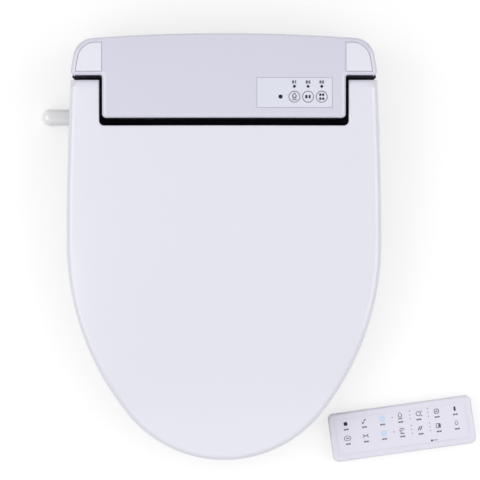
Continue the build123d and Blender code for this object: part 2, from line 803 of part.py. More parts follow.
with BuildPart() as lid_shell:
    with BuildSketch(Plane.XY.offset(lid_low)):
        seat_outline(0, EAR_END_Y)
    extrude(amount=140, taper=SKIRT_DRAFT)
    add(lid_skin, mode=Mode.INTERSECT)
    fillet(rim_edges(lid_shell.part), LID_EDGE_R)
    with BuildSketch(Plane.XY):
        notch_outline(0)
    extrude(amount=200, mode=Mode.SUBTRACT)
    add(lid_hollow.part, mode=Mode.SUBTRACT)
    with BuildSketch(Plane.YZ):
        rim_polygon()
    extrude(amount=HALF_WIDTH + 20, both=True, mode=Mode.SUBTRACT)
    with BuildSketch(Plane.YZ):
        with Locations((-10, 54.5)):
            Rectangle(80, 109)
    extrude(amount=LUG_OUT + 6, both=True, mode=Mode.SUBTRACT)
    with BuildSketch(Plane.YZ):
        with Locations((NOTCH_Y - 2, 57)):
            Rectangle(14, 114)
    extrude(amount=NOTCH_HALF - 2, both=True, mode=Mode.SUBTRACT)
    for side in (-1, 1):
        lug_top = across(LID_HINGE_TOP, LUG_OUT) - 2
        with BuildSketch(Plane.YZ.offset(side * LUG_IN)):
            with Locations((HINGE_Y, HINGE_Z)):
                Circle(LID_LUG_R)
            with Locations((HINGE_Y - 2, (HINGE_Z + lug_top) / 2)):
                Rectangle(2 * LID_LUG_R - 4, lug_top - HINGE_Z)
        extrude(amount=side * (LUG_OUT - LUG_IN))
    with BuildSketch(Plane.YZ.offset(-LUG_IN + 1)):
        with Locations((HINGE_Y, HINGE_Z)):
            Rectangle(LID_KEY, LID_KEY)
    extrude(amount=LUG_IN - LUG_OUT - 2, mode=Mode.SUBTRACT)
    with BuildSketch(Plane.YZ.offset(LUG_IN - 1)):
        with Locations((HINGE_Y, HINGE_Z)):
            Circle(SHAFT_R + RUN)
    extrude(amount=LUG_OUT - LUG_IN + 2, mode=Mode.SUBTRACT)
    fillet(lid_shell.edges().filter_by(GeomType.BSPLINE).filter_by(beside_neck), NOTCH_EDGE_R)
save(lid_shell, "lid_shell")

lid_bumper_spots = [(-72, -392), (72, -392), (-146, -150), (146, -150)]

with BuildPart() as lid_bumpers:
    with BuildSketch():
        with Locations(lid_bumper_spots):
            Circle(8)
    extrude(amount=200)
    add(lid_core, mode=Mode.INTERSECT)
    with BuildSketch(Plane.YZ):
        Polygon(
            (TIP_Y, 0),
            (0, 0),
            (0, ring_top(0) + SLIDE),
            (TIP_Y, ring_top(TIP_Y) + SLIDE),
            align=None,
        )
    extrude(amount=HALF_WIDTH, both=True, mode=Mode.SUBTRACT)
save(lid_bumpers, "lid_bumpers")

# Seat
ring_wall = 3.0
ring_edge_r = 9.0


def ring_plan(shrink):
    """Plan of the seat ring with its opening, all edges drawn in by shrink."""
    seat_outline(RING_INSET + shrink, RING_REAR_Y - shrink)
    with Locations((0, HOLE_Y)):
        Ellipse(HOLE_HALF + shrink, HOLE_LONG + shrink, mode=Mode.SUBTRACT)


with BuildPart() as ring_hollow:
    with BuildSketch():
        ring_plan(ring_wall)
    extrude(amount=140)
    with BuildSketch(Plane.YZ):
        ring_band(-5, ring_wall)
    extrude(amount=HALF_WIDTH + 10, both=True, mode=Mode.INTERSECT)
    fillet(ring_hollow.faces().sort_by(Axis.Z)[-1].edges(), ring_edge_r - ring_wall)

with BuildPart() as seat_top:
    with BuildSketch():
        ring_plan(0)
    extrude(amount=140)
    with BuildSketch(Plane.YZ):
        ring_band(0, 0)
    extrude(amount=HALF_WIDTH + 10, both=True, mode=Mode.INTERSECT)
    fillet(seat_top.faces().sort_by(Axis.Z)[-1].edges(), ring_edge_r)
    add(ring_hollow.part, mode=Mode.SUBTRACT)
    for side in (-1, 1):
        with BuildSketch(Plane.YZ.offset(side * ARM_IN)):
            with Locations((HINGE_Y, HINGE_Z)):
                Circle(ARM_LUG_R)
            with Locations((RING_REAR_Y - 7.5, (ring_under(RING_REAR_Y) + ring_top(RING_REAR_Y)) / 2 + 1)):
                Rectangle(12, RING_THICK - 12)
            make_hull()
        extrude(amount=side * (ARM_OUT - ARM_IN))
    with BuildSketch(Plane.YZ.offset(-ARM_IN + 1)):
        with Locations((HINGE_Y, HINGE_Z)):
            Circle(SHAFT_R + RUN)
    extrude(amount=ARM_IN - ARM_OUT - 2, mode=Mode.SUBTRACT)
    with BuildSketch(Plane.YZ.offset(ARM_IN - 1)):
        with Locations((HINGE_Y, HINGE_Z)):
            Rectangle(SEAT_KEY, SEAT_KEY)
    extrude(amount=ARM_OUT - ARM_IN + 2, mode=Mode.SUBTRACT)
save(seat_top, "seat_top")

with BuildPart() as seat_bottom:
    with BuildSketch():
        ring_plan(ring_wall + 0.2)
    extrude(amount=140)
    with BuildSketch(Plane.YZ):
        ring_band(0, RING_THICK - 3)
    extrude(amount=HALF_WIDTH + 10, both=True, mode=Mode.INTERSECT)
save(seat_bottom, "seat_bottom")

with BuildPart() as seat_heater:
    with BuildSketch():
        seat_outline(RING_INSET + 18, RING_REAR_Y - 18)
        with Locations((0, HOLE_Y)):
            Ellipse(HOLE_HALF + 16, HOLE_LONG + 16, mode=Mode.SUBTRACT)
    extrude(amount=140)
    with BuildSketch(Plane.YZ):
        ring_band(RING_THICK - ring_wall - 0.6, ring_wall)
    extrude(amount=HALF_WIDTH + 10, both=True, mode=Mode.INTERSECT)
save(seat_heater, "seat_heater")

seat_bumper_spots = [(-104, -358), (104, -358), (-148, -165), (148, -165)]

with BuildPart() as seat_bumpers:
    with BuildSketch():
        with Locations(seat_bumper_spots):
            SlotOverall(30, 16, rotation=90)
    extrude(amount=100)
    with BuildSketch(Plane.YZ):
        Polygon((TIP_Y, 150), (0, 150), (0, ring_under(0)), (TIP_Y, ring_under(TIP_Y)), align=None)
    extrude(amount=HALF_WIDTH, both=True, mode=Mode.SUBTRACT)
save(seat_bumpers, "seat_bumpers")

# Water path: elbow, lock nut, strainer, valve, hose and heated tank
valve_out = WING_HALF - VALVE_SET_IN
valve_in = valve_out - VALVE_W
valve_front, valve_back = -38.0, -14.0
nut_thick = 4.0
tank_x = (-138.0, -48.0)
tank_y = (20.0, rear_edge_y(tank_x[0]) - WALL - SLIDE)
tank_top = 88.0
tank_wall = 2.5
leg_x = -WING_HALF - INLET_STUB + INLET_R
leg_end = 5.0

with BuildPart() as inlet_elbow:
    with BuildSketch(Plane.YZ.offset(-WING_HALF)):
        with Locations((INLET_Y, INLET_Z)):
            Circle(INLET_R)
    extrude(amount=leg_x + WING_HALF)
    with Locations((leg_x, INLET_Y, INLET_Z)):
        Sphere(INLET_R)
    with BuildSketch(Plane.XY.offset(leg_end)):
        with Locations((leg_x, INLET_Y)):
            Circle(INLET_R)
    extrude(amount=INLET_Z - leg_end)
    with BuildSketch(Plane.XY.offset(leg_end)):
        with Locations((leg_x, INLET_Y)):
            Circle(THREAD_R)
    extrude(amount=THREAD_L)
    with BuildSketch(Plane.YZ.offset(-WING_HALF)):
        with Locations((INLET_Y, INLET_Z)):
            Circle(SPIGOT_R)
    extrude(amount=WING_HALF - valve_out)
    with BuildSketch(Plane.YZ.offset(-valve_out)):
        with Locations((INLET_Y, INLET_Z)):
            Circle(INLET_BORE)
    extrude(amount=leg_x + valve_out, mode=Mode.SUBTRACT)
    with Locations((leg_x, INLET_Y, INLET_Z)):
        Sphere(INLET_BORE, mode=Mode.SUBTRACT)
    with BuildSketch(Plane.XY.offset(leg_end)):
        with Locations((leg_x, INLET_Y)):
            Circle(INLET_BORE)
    extrude(amount=INLET_Z - leg_end, mode=Mode.SUBTRACT)
save(inlet_elbow, "inlet_elbow")

with BuildPart() as inlet_nut:
    with BuildSketch(Plane.YZ.offset(-WING_HALF + WALL)):
        with Locations((INLET_Y, INLET_Z)):
            RegularPolygon(10.5, 6, rotation=30)
            Circle(SPIGOT_R, mode=Mode.SUBTRACT)
    extrude(amount=nut_thick)
save(inlet_nut, "inlet_nut")

with BuildPart() as inlet_strainer:
    with BuildSketch(Plane.XY.offset(leg_end + 1)):
        with Locations((leg_x, INLET_Y)):
            Circle(INLET_BORE)
            Circle(INLET_BORE - 1.2, mode=Mode.SUBTRACT)
    extrude(amount=10)
    with BuildSketch(Plane.XY.offset(leg_end + 10)):
        with Locations((leg_x, INLET_Y)):
            Circle(INLET_BORE - 0.6)
            with GridLocations(2.6, 2.6, 3, 3):
                Circle(0.8, mode=Mode.SUBTRACT)
    extrude(amount=1)
save(inlet_strainer, "inlet_strainer")

with BuildPart() as inlet_valve:
    with BuildSketch(Plane.XY.offset(FLOOR_TOP)):
        with Locations(((-valve_out - valve_in) / 2, (valve_front + valve_back) / 2)):
            RectangleRounded(valve_out - valve_in, valve_back - valve_front, 3)
    extrude(amount=31)
    with BuildSketch(Plane.YZ.offset(-valve_in)):
        with Locations(((valve_front + valve_back) / 2, INLET_Z)):
            Circle(9)
    extrude(amount=14)
    with BuildSketch(Plane.YZ.offset(-valve_out)):
        with Locations((INLET_Y, INLET_Z)):
            Circle(INLET_BORE)
    extrude(amount=8, mode=Mode.SUBTRACT)
save(inlet_valve, "inlet_valve")

hose_x, hose_y, hose_z, hose_r = -(valve_in + valve_out) / 2, 44.0, 24.0, 4.0

with BuildPart() as feed_hose:
    with BuildLine() as route:
        FilletPolyline(
            (hose_x, valve_back, hose_z),
            (hose_x, hose_y, hose_z),
            (tank_x[0], hose_y, hose_z),
            radius=12,
        )
    with BuildSketch(Plane((hose_x, valve_back, hose_z), z_dir=(0, 1, 0))):
        Circle(hose_r)
        Circle(hose_r - 1.5, mode=Mode.SUBTRACT)
    sweep(path=route.line)
save(feed_hose, "feed_hose")

heater_x, heater_y, heater_gap, heater_r = -93.0, 43.0, 14.0, 4.0
heater_low = 34.0

with BuildPart() as water_tank:
    with BuildSketch(Plane.XY.offset(FLOOR_TOP)):
        with Locations((sum(tank_x) / 2, sum(tank_y) / 2)):
            RectangleRounded(tank_x[1] - tank_x[0], tank_y[1] - tank_y[0], 6)
    extrude(amount=tank_top - FLOOR_TOP)
    with BuildSketch(Plane.XY.offset(FLOOR_TOP + tank_wall)):
        with Locations((sum(tank_x) / 2, sum(tank_y) / 2)):
            RectangleRounded(
                tank_x[1] - tank_x[0] - 2 * tank_wall, tank_y[1] - tank_y[0] - 2 * tank_wall, 3.5
            )
    extrude(amount=tank_top - FLOOR_TOP - 2 * tank_wall, mode=Mode.SUBTRACT)
    with BuildSketch(Plane.XY.offset(tank_top)):
        with Locations((heater_x - heater_gap, heater_y), (heater_x + heater_gap, heater_y)):
            Circle(heater_r)
    extrude(amount=-2 * tank_wall, mode=Mode.SUBTRACT)
    with BuildSketch(Plane.YZ.offset(tank_x[0])):
        with Locations((hose_y, hose_z)):
            Circle(hose_r - 1.5)
    extrude(amount=2 * tank_wall, mode=Mode.SUBTRACT)
save(water_tank, "water_tank")

with BuildPart() as tank_heater:
    with BuildLine() as loop:
        FilletPolyline(
            (heater_x - heater_gap, heater_y, tank_top),
            (heater_x - heater_gap, heater_y, heater_low),
            (heater_x + heater_gap, heater_y, heater_low),
            (heater_x + heater_gap, heater_y, tank_top),
            radius=heater_gap - 2,
        )
    with BuildSketch(Plane((heater_x - heater_gap, heater_y, tank_top), z_dir=(0, 0, -1))):
        Circle(heater_r)
    sweep(path=loop.line)
    with BuildSketch(Plane.XY.offset(tank_top)):
        with Locations((heater_x, heater_y)):
            RectangleRounded(2 * heater_gap + 18, 20, 5)
    extrude(amount=4)
save(tank_heater, "tank_heater")

# Nozzle guide, nozzles, pinions and motors
guide_from, guide_to, guide_ring = 63.0, 116.0, 6.0
guide_half = 21.5
rack_half = 3.0
motor_in, motor_out, motor_r = 21.5, 38.0, 9.6
pin_r = 2.5
tooth_pitch = 2 * pi * PITCH_R / TEETH


def keyhole(grow):
    """End view of a nozzle with the rack along its top."""
    Circle(NOZZLE_R + grow)
    with Locations((0, (RACK_LINE + ADDENDUM + grow * 2) / 2)):
        Rectangle(2 * (rack_half + grow), RACK_LINE + ADDENDUM + grow * 2)


with BuildPart() as nozzle_cradle:
    with BuildSketch(Plane.YZ):
        Polygon(
            (on_nozzle(guide_from, 0)[0], FLOOR_TOP),
            (on_nozzle(guide_to, 0)[0], FLOOR_TOP),
            on_nozzle(guide_to, 2),
            on_nozzle(guide_from, 2),
            align=None,
        )
    extrude(amount=guide_half, both=True)
    for start in (guide_from + 0.7, guide_to - guide_ring - 0.7):
        with BuildSketch(nozzle_end(0, start)):
            with Locations((0, 4)):
                Rectangle(2 * guide_half, 18)
        extrude(amount=guide_ring)
    for side in (-1, 1):
        with BuildSketch(Plane.YZ.offset(side * guide_half)):
            with Locations((pinion_y, pinion_z)):
                Circle(8)
            with Locations((pinion_y, pinion_z - 12)):
                Rectangle(16, 24)
            with Locations((pinion_y, pinion_z)):
                Circle(pin_r + 2 * SLIDE, mode=Mode.SUBTRACT)
        extrude(amount=-side * 2)
        with BuildSketch(nozzle_end(side * NOZZLE_X, guide_from - 20)):
            keyhole(RUN)
        extrude(amount=guide_to - guide_from + 40, mode=Mode.SUBTRACT)
save(nozzle_cradle, "nozzle_cradle")


def spray_nozzle(side, jets):
    """Round nozzle with a rounded tip, a row of jets near it and a toothed rack along the rear."""
    x = side * NOZZLE_X
    first = PINION_AT - 1.5 * tooth_pitch
    count = int((NOZZLE_TRAVEL + 3 * tooth_pitch) / tooth_pitch) + 1
    half = tooth_pitch / 4 - 0.2
    slope = 0.364
    with BuildPart() as rod:
        with BuildSketch(nozzle_end(x, 0)):
            Circle(NOZZLE_R)
        extrude(amount=NOZZLE_LENGTH)
        fillet(rod.faces().sort_by(Axis(origin=(0, 0, 0), direction=nozzle_back))[0].edges(), 3)
        with BuildSketch(nozzle_side(x - rack_half)):
            with Locations(((first - tooth_pitch + NOZZLE_LENGTH) / 2, (RACK_LINE - DEDENDUM) / 2)):
                Rectangle(NOZZLE_LENGTH - first + tooth_pitch, RACK_LINE - DEDENDUM)
            for i in range(count):
                with Locations((first + i * tooth_pitch, RACK_LINE)):
                    Polygon(
                        (-half - DEDENDUM * slope, -DEDENDUM),
                        (half + DEDENDUM * slope, -DEDENDUM),
                        (half - ADDENDUM * slope, ADDENDUM),
                        (-half + ADDENDUM * slope, ADDENDUM),
                        align=None,
                    )
        extrude(amount=2 * rack_half)
        for i in range(jets):
            with BuildSketch(Plane((x, *on_nozzle(JET_AT + JET_PITCH * i, 0)), z_dir=nozzle_up)):
                Circle(JET_R)
            extrude(amount=NOZZLE_R + 1, mode=Mode.SUBTRACT)
    return rod.part


def nozzle_pinion(side):
    """Pinion with its shaft, one tooth set square into the rack."""
    x = side * NOZZLE_X
    root, tip = PITCH_R - DEDENDUM, PITCH_R + ADDENDUM
    with BuildPart() as gear:
        with BuildSketch(Plane((x - 4, pinion_y, pinion_z), x_dir=nozzle_back, z_dir=(1, 0, 0))):
            Circle(root)
            with PolarLocations(0, TEETH, start_angle=-90):
                Polygon((root - 1, -1.3), (tip, -0.45), (tip, 0.45), (root - 1, 1.3), align=None)
        extrude(amount=8)
        with BuildSketch(Plane.YZ.offset(x)):
            with Locations((pinion_y, pinion_z)):
                Circle(pin_r)
        extrude(amount=side * (motor_in + 8 - NOZZLE_X))
    return gear.part


def nozzle_motor(side):
    """Small geared motor with a socket for the pinion shaft."""
    with BuildPart() as can:
        with BuildSketch(Plane.YZ.offset(side * motor_in)):
            with Locations((pinion_y, pinion_z)):
                Circle(motor_r)
                Circle(pin_r + RUN, mode=Mode.SUBTRACT)
        extrude(amount=side * 9)
        with BuildSketch(Plane.YZ.offset(side * (motor_in + 9))):
            with Locations((pinion_y, pinion_z)):
                Circle(motor_r)
        extrude(amount=side * (motor_out - motor_in - 9))
    return can.part


with BuildPart() as wash_nozzle:
    add(spray_nozzle(-1, 3))
save(wash_nozzle, "wash_nozzle")

with BuildPart() as bidet_nozzle:
    add(spray_nozzle(1, 5))
save(bidet_nozzle, "bidet_nozzle")

with BuildPart() as wash_pinion:
    add(nozzle_pinion(-1))
save(wash_pinion, "wash_pinion")

with BuildPart() as bidet_pinion:
    add(nozzle_pinion(1))
save(bidet_pinion, "bidet_pinion")

with BuildPart() as wash_motor:
    add(nozzle_motor(-1))
save(wash_motor, "wash_motor")

with BuildPart() as bidet_motor:
    add(nozzle_motor(1))
save(bidet_motor, "bidet_motor")

# Warm-air dryer: fan case, impeller, motor, duct, heater and outlet flap
case_wall = 2.0
inlet_r = 16.0
fan_motor_r = 10.0
duct_back_y = FAN_Y - FAN_R / 2 - 9

with BuildPart() as fan_case:
    with BuildSketch(Plane.XY.offset(FLOOR_TOP)):
        with Locations((FAN_X, FAN_Y)):
            Circle(FAN_R)
    extrude(amount=FAN_TOP - FLOOR_TOP)
    with BuildSketch(Plane.XY.offset(FLOOR_TOP + case_wall)):
        with Locations((FAN_X, FAN_Y)):
            Circle(FAN_R - case_wall)
    extrude(amount=FAN_TOP - FLOOR_TOP - 2 * case_wall, mode=Mode.SUBTRACT)
    with BuildSketch(Plane.XY.offset(FAN_TOP - case_wall)):
        with Locations((FAN_X, FAN_Y)):
            Circle(inlet_r, mode=Mode.ADD)
            Rectangle(2 * inlet_r, 4, mode=Mode.SUBTRACT)
            Rectangle(4, 2 * inlet_r, mode=Mode.SUBTRACT)
            Circle(6, mode=Mode.SUBTRACT)
    extrude(amount=case_wall, mode=Mode.SUBTRACT)
    with BuildSketch(Plane.XY.offset(FAN_TOP - case_wall)):
        with Locations((FAN_X, FAN_Y)):
            Circle(3)
    extrude(amount=case_wall, mode=Mode.SUBTRACT)
    with BuildSketch(Plane.XY.offset(DUCT_LOW)):
        with Locations(((DUCT_IN + DUCT_OUT) / 2, FAN_Y - FAN_R / 2 - 8)):
            Rectangle(DUCT_OUT - DUCT_IN + 0.2, FAN_R)
    extrude(amount=DUCT_HIGH - DUCT_LOW, mode=Mode.SUBTRACT)
save(fan_case, "fan_case")

with BuildPart() as fan_motor:
    with BuildSketch(Plane.XY.offset(FAN_TOP)):
        with Locations((FAN_X, FAN_Y)):
            Circle(fan_motor_r)
    extrude(amount=22)
    with BuildSketch(Plane.XY.offset(FAN_TOP)):
        with Locations((FAN_X, FAN_Y)):
            Circle(2 + RUN)
    extrude(amount=12, mode=Mode.SUBTRACT)
save(fan_motor, "fan_motor")

wheel_low, wheel_high, wheel_r = FLOOR_TOP + case_wall + 1.5, FAN_TOP - case_wall - 2, 15.0

with BuildPart() as fan_impeller:
    with BuildSketch(Plane.XY.offset(wheel_low)):
        with Locations((FAN_X, FAN_Y)):
            Circle(wheel_r)
    extrude(amount=1.5)
    with BuildSketch(Plane.XY.offset(wheel_low)):
        with Locations((FAN_X, FAN_Y)):
            Circle(4)
            with PolarLocations(wheel_r - 3, 16):
                Rectangle(5, 1.2, rotation=35)
    extrude(amount=wheel_high - wheel_low)
    with BuildSketch(Plane.XY.offset(wheel_low)):
        with Locations((FAN_X, FAN_Y)):
            Circle(2)
    extrude(amount=FAN_TOP + 11 - wheel_low)
save(fan_impeller, "fan_impeller")

cheek = 2.0
flap_y, flap_z, flap_pin = DUCT_FRONT_Y - 3.5, DUCT_HIGH - 3.5, 1.2

with BuildPart() as air_duct:
    with BuildSketch(Plane.XZ.offset(-duct_back_y)):
        with Locations(((DUCT_IN + DUCT_OUT) / 2, (DUCT_LOW + DUCT_HIGH) / 2)):
            Rectangle(DUCT_OUT - DUCT_IN, DUCT_HIGH - DUCT_LOW)
            Rectangle(DUCT_OUT - DUCT_IN - 2 * SHEET, DUCT_HIGH - DUCT_LOW - 2 * SHEET, mode=Mode.SUBTRACT)
    extrude(amount=duct_back_y - DUCT_FRONT_Y)
    for x in (DUCT_IN - cheek + SHEET, DUCT_OUT - SHEET):
        with BuildSketch(Plane.YZ.offset(x)):
            with Locations((DUCT_FRONT_Y - 1, flap_z)):
                Rectangle(12, 7)
            with Locations((flap_y, flap_z)):
                Circle(flap_pin + RUN, mode=Mode.SUBTRACT)
        extrude(amount=cheek)
save(air_duct, "air_duct")

with BuildPart() as air_heater:
    with BuildSketch(Plane.XZ.offset(24)):
        with Locations(((DUCT_IN + DUCT_OUT) / 2, (DUCT_LOW + DUCT_HIGH) / 2)):
            Rectangle(DUCT_OUT - DUCT_IN - 2 * SHEET, DUCT_HIGH - DUCT_LOW - 2 * SHEET)
            with GridLocations(3, 4, 6, 2):
                Rectangle(2, 3, mode=Mode.SUBTRACT)
    extrude(amount=-36)
save(air_heater, "air_heater")

with BuildPart() as air_flap:
    with BuildSketch(Plane.YZ.offset((DUCT_IN + DUCT_OUT) / 2)):
        with Locations((flap_y, flap_z)):
            Circle(flap_pin + 0.8)
        with Locations((flap_y - 0.6, (flap_z + DUCT_LOW) / 2)):
            Rectangle(1.6, flap_z - DUCT_LOW)
    extrude(amount=(DUCT_OUT - DUCT_IN) / 2 - SHEET - SLIDE, both=True)
    with BuildSketch(Plane.YZ.offset((DUCT_IN + DUCT_OUT) / 2)):
        with Locations((flap_y, flap_z)):
            Circle(flap_pin)
    extrude(amount=(DUCT_OUT - DUCT_IN) / 2 + cheek - SHEET, both=True)
save(air_flap, "air_flap")

# Deodoriser drawer in the right side
with BuildPart() as filter_drawer:
    with BuildSketch(Plane.YZ.offset(filter_in)):
        with Locations((filter_y, filter_z)):
            Rectangle(filter_w, filter_h)
    extrude(amount=WING_HALF - SLIDE - filter_in)
    with BuildSketch(Plane.XY.offset(filter_z + filter_h / 2)):
        with Locations(((filter_in + WING_HALF) / 2 - 3, filter_y)):
            with GridLocations(5, 0, 5, 1):
                Rectangle(2.5, filter_w - 8)
    extrude(amount=-filter_h + 3, mode=Mode.SUBTRACT)
save(filter_drawer, "filter_drawer")

# Release button in the left side
with BuildPart() as release_button:
    with BuildSketch(Plane.YZ.offset(-WING_HALF + SLIDE)):
        with Locations((release_y, release_z)):
            Rectangle(release_w, release_h)
    extrude(amount=WALL + 2)
    with BuildSketch(Plane.YZ.offset(-WING_HALF + WALL)):
        with Locations((release_y, release_z)):
            Rectangle(release_w + 4, release_h + 4)
    extrude(amount=2)
save(release_button, "release_button")

# Gland for the power cord
with BuildPart() as cord_gland:
    with BuildSketch(Plane.YZ.offset(WING_HALF)):
        with Locations((gland_y, gland_z)):
            Circle(gland_r + 2.5)
    extrude(amount=2.4)
    with BuildSketch(Plane.YZ.offset(WING_HALF)):
        with Locations((gland_y, gland_z)):
            Circle(gland_r)
    extrude(amount=-14)
    with BuildSketch(Plane.YZ.offset(WING_HALF + 3)):
        with Locations((gland_y, gland_z)):
            Circle(cord_r)
    extrude(amount=-20, mode=Mode.SUBTRACT)
save(cord_gland, "cord_gland")

# Screws from below into the cover
with BuildPart() as case_screws:
    with BuildSketch(Plane.XY.offset(screw_seat)):
        with Locations(boss_spots):
            Circle(3.6)
    extrude(amount=-3)
    with BuildSketch(Plane.XY.offset(screw_seat)):
        with Locations(boss_spots):
            Circle(screw_r)
    extrude(amount=screw_end - screw_seat)
save(case_screws, "case_screws")

# Plate that stays on the bowl
with BuildPart() as mounting_plate:
    with BuildSketch():
        RectangleRounded(2 * PLATE_HALF, PLATE_DEPTH, 6)
    extrude(amount=PLATE_THICK)
    with BuildSketch(Plane.XY.offset(3)):
        Rectangle(2 * (PLATE_HALF + 5.5), PLATE_DEPTH - 20)
    extrude(amount=PLATE_THICK - 3)
    with BuildSketch():
        with Locations((-BOLT_SPACING / 2, 0), (BOLT_SPACING / 2, 0)):
            SlotOverall(BOLT_SLOT, 2 * BOLT_SLOT_R)
    extrude(amount=PLATE_THICK, mode=Mode.SUBTRACT)
    with BuildSketch(Plane.XY.offset(2.5)):
        with Locations((-BOLT_SPACING / 2, 0), (BOLT_SPACING / 2, 0)):
            SlotOverall(BOLT_SLOT + 10, 2 * BOLT_SLOT_R + 12)
    extrude(amount=PLATE_THICK, mode=Mode.SUBTRACT)
save(mounting_plate, "mounting_plate")

# Handset
turn = radians(HANDSET_TURN)


def handset(z):
    """Plane of the handset's plan at height z."""
    return Plane((HANDSET_X, HANDSET_Y, z), x_dir=(cos(turn), sin(turn), 0), z_dir=(0, 0, 1))


shell_t = 2.0
bay_from, bay_w = HANDSET_L / 2 - shell_t - CELL_L - CELL_END, 30.0
film_w, film_d, film_sunk = HANDSET_L - 16, HANDSET_W - 16, 0.6
handset_board_z = HANDSET_SPLIT + 0.5
board_from = -HANDSET_L / 2 + 6
board_posts = [(x, y) for x in (board_from + 6, bay_from - 10) for y in (-18, 18)]

with BuildPart() as remote_back:
    with BuildSketch(handset(0)):
        RectangleRounded(HANDSET_L, HANDSET_W, HANDSET_R)
    extrude(amount=HANDSET_SPLIT)
    with BuildSketch(handset(shell_t)):
        RectangleRounded(HANDSET_L - 2 * shell_t, HANDSET_W - 2 * shell_t, HANDSET_R - shell_t)
    extrude(amount=HANDSET_SPLIT, mode=Mode.SUBTRACT)
    with BuildSketch(handset(0)):
        with Locations(((bay_from + HANDSET_L / 2 + 5) / 2, 0)):
            Rectangle(HANDSET_L / 2 + 5 - bay_from, bay_w + 2 * SLIDE)
    extrude(amount=shell_t + 1, mode=Mode.SUBTRACT)
    with BuildSketch(handset(shell_t)):
        with Locations(board_posts):
            Circle(2.5)
    extrude(amount=handset_board_z - shell_t)
save(remote_back, "remote_back")

with BuildPart() as remote_front:
    with BuildSketch(handset(HANDSET_SPLIT)):
        RectangleRounded(HANDSET_L, HANDSET_W, HANDSET_R)
    extrude(amount=HANDSET_TOP - HANDSET_SPLIT)
    fillet(remote_front.faces().sort_by(Axis.Z)[-1].edges(), 3)
    with BuildSketch(handset(HANDSET_SPLIT)):
        RectangleRounded(HANDSET_L - 2 * shell_t, HANDSET_W - 2 * shell_t, HANDSET_R - shell_t)
    extrude(amount=HANDSET_TOP - HANDSET_SPLIT - shell_t, mode=Mode.SUBTRACT)
    with BuildSketch(handset(HANDSET_TOP - film_sunk)):
        RectangleRounded(film_w, film_d, 3)
    extrude(amount=5, mode=Mode.SUBTRACT)
save(remote_front, "remote_front")

with BuildPart() as remote_keypad:
    with BuildSketch(handset(HANDSET_TOP - film_sunk)):
        RectangleRounded(film_w - 0.4, film_d - 0.4, 2.8)
    extrude(amount=film_sunk - 0.1)
save(remote_keypad, "remote_keypad")

with BuildPart() as remote_board:
    with BuildSketch(handset(handset_board_z)):
        with Locations(((board_from + bay_from - 4) / 2, 0)):
            Rectangle(bay_from - 4 - board_from, HANDSET_W - 12)
    extrude(amount=BOARD_THICK)
save(remote_board, "remote_board")

with BuildPart() as battery_door:
    with BuildSketch(handset(0)):
        with Locations(((bay_from + SLIDE + HANDSET_L / 2) / 2, 0)):
            Rectangle(HANDSET_L / 2 - bay_from - SLIDE, bay_w)
    extrude(amount=shell_t)
save(battery_door, "battery_door")

cell_start = handset(shell_t + CELL_R + CELL_LIFT).from_local_coords((bay_from + 2, 0, 0))
cell_side = (-sin(turn), cos(turn), 0)
cell_along = (cos(turn), sin(turn), 0)

with BuildPart() as remote_cells:
    with BuildSketch(Plane(cell_start, x_dir=cell_side, z_dir=cell_along)):
        with Locations((-CELL_R - CELL_SPACE, 0), (CELL_R + CELL_SPACE, 0)):
            Circle(CELL_R)
    extrude(amount=CELL_L)
save(remote_cells, "remote_cells")
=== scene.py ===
"""Looks of the electric bidet seat: finishes, printed marks, finger ribs, studio and camera."""

import json
from math import atan2, degrees, radians

import bpy
from mathutils import Matrix, Vector


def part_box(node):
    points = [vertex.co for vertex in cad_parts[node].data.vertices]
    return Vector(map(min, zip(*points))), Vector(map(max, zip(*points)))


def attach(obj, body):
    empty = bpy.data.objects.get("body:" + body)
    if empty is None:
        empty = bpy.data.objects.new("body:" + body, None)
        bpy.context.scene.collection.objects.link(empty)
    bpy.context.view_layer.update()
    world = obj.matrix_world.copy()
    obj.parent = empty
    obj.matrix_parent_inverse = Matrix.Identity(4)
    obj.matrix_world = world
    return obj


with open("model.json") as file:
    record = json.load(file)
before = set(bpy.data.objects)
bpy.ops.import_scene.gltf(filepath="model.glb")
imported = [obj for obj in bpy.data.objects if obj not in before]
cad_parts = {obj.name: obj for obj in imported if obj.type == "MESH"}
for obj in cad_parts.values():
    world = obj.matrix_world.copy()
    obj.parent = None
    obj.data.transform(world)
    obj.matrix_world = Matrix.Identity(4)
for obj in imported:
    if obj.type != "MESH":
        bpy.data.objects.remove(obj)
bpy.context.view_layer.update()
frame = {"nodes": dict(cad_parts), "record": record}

nodes = frame["nodes"]
slot_of = {part["node"]: part["material_slot"] for part in frame["record"]["subparts"]}

MM = 0.001


# Finishes
COAT_ROUGHNESS = 0.04
GRAIN_STRENGTH = 0.6
NOISE_LOW, NOISE_HIGH = 0.3, 0.7
# Painted shade in narrow seams: how far the occlusion looks, the painted colour, and the occlusion range
# over which it fades out
SEAM_SHADE_REACH = 2 * MM
SEAM_PAINTED_SHADE = (0.1, 0.1, 0.14)
SEAM_SHADE_LOW, SEAM_SHADE_HIGH = 0.15, 0.6


def finish(name, roughness, metallic=0.0, coat=0.0):
    """New material with its shader's fixed values set."""
    material = bpy.data.materials.new(name)
    material.use_nodes = True
    shader = material.node_tree.nodes["Principled BSDF"]
    shader.inputs["Roughness"].default_value = roughness
    shader.inputs["Metallic"].default_value = metallic
    shader.inputs["Coat Weight"].default_value = coat
    shader.inputs["Coat Roughness"].default_value = COAT_ROUGHNESS
    return material, material.node_tree, shader


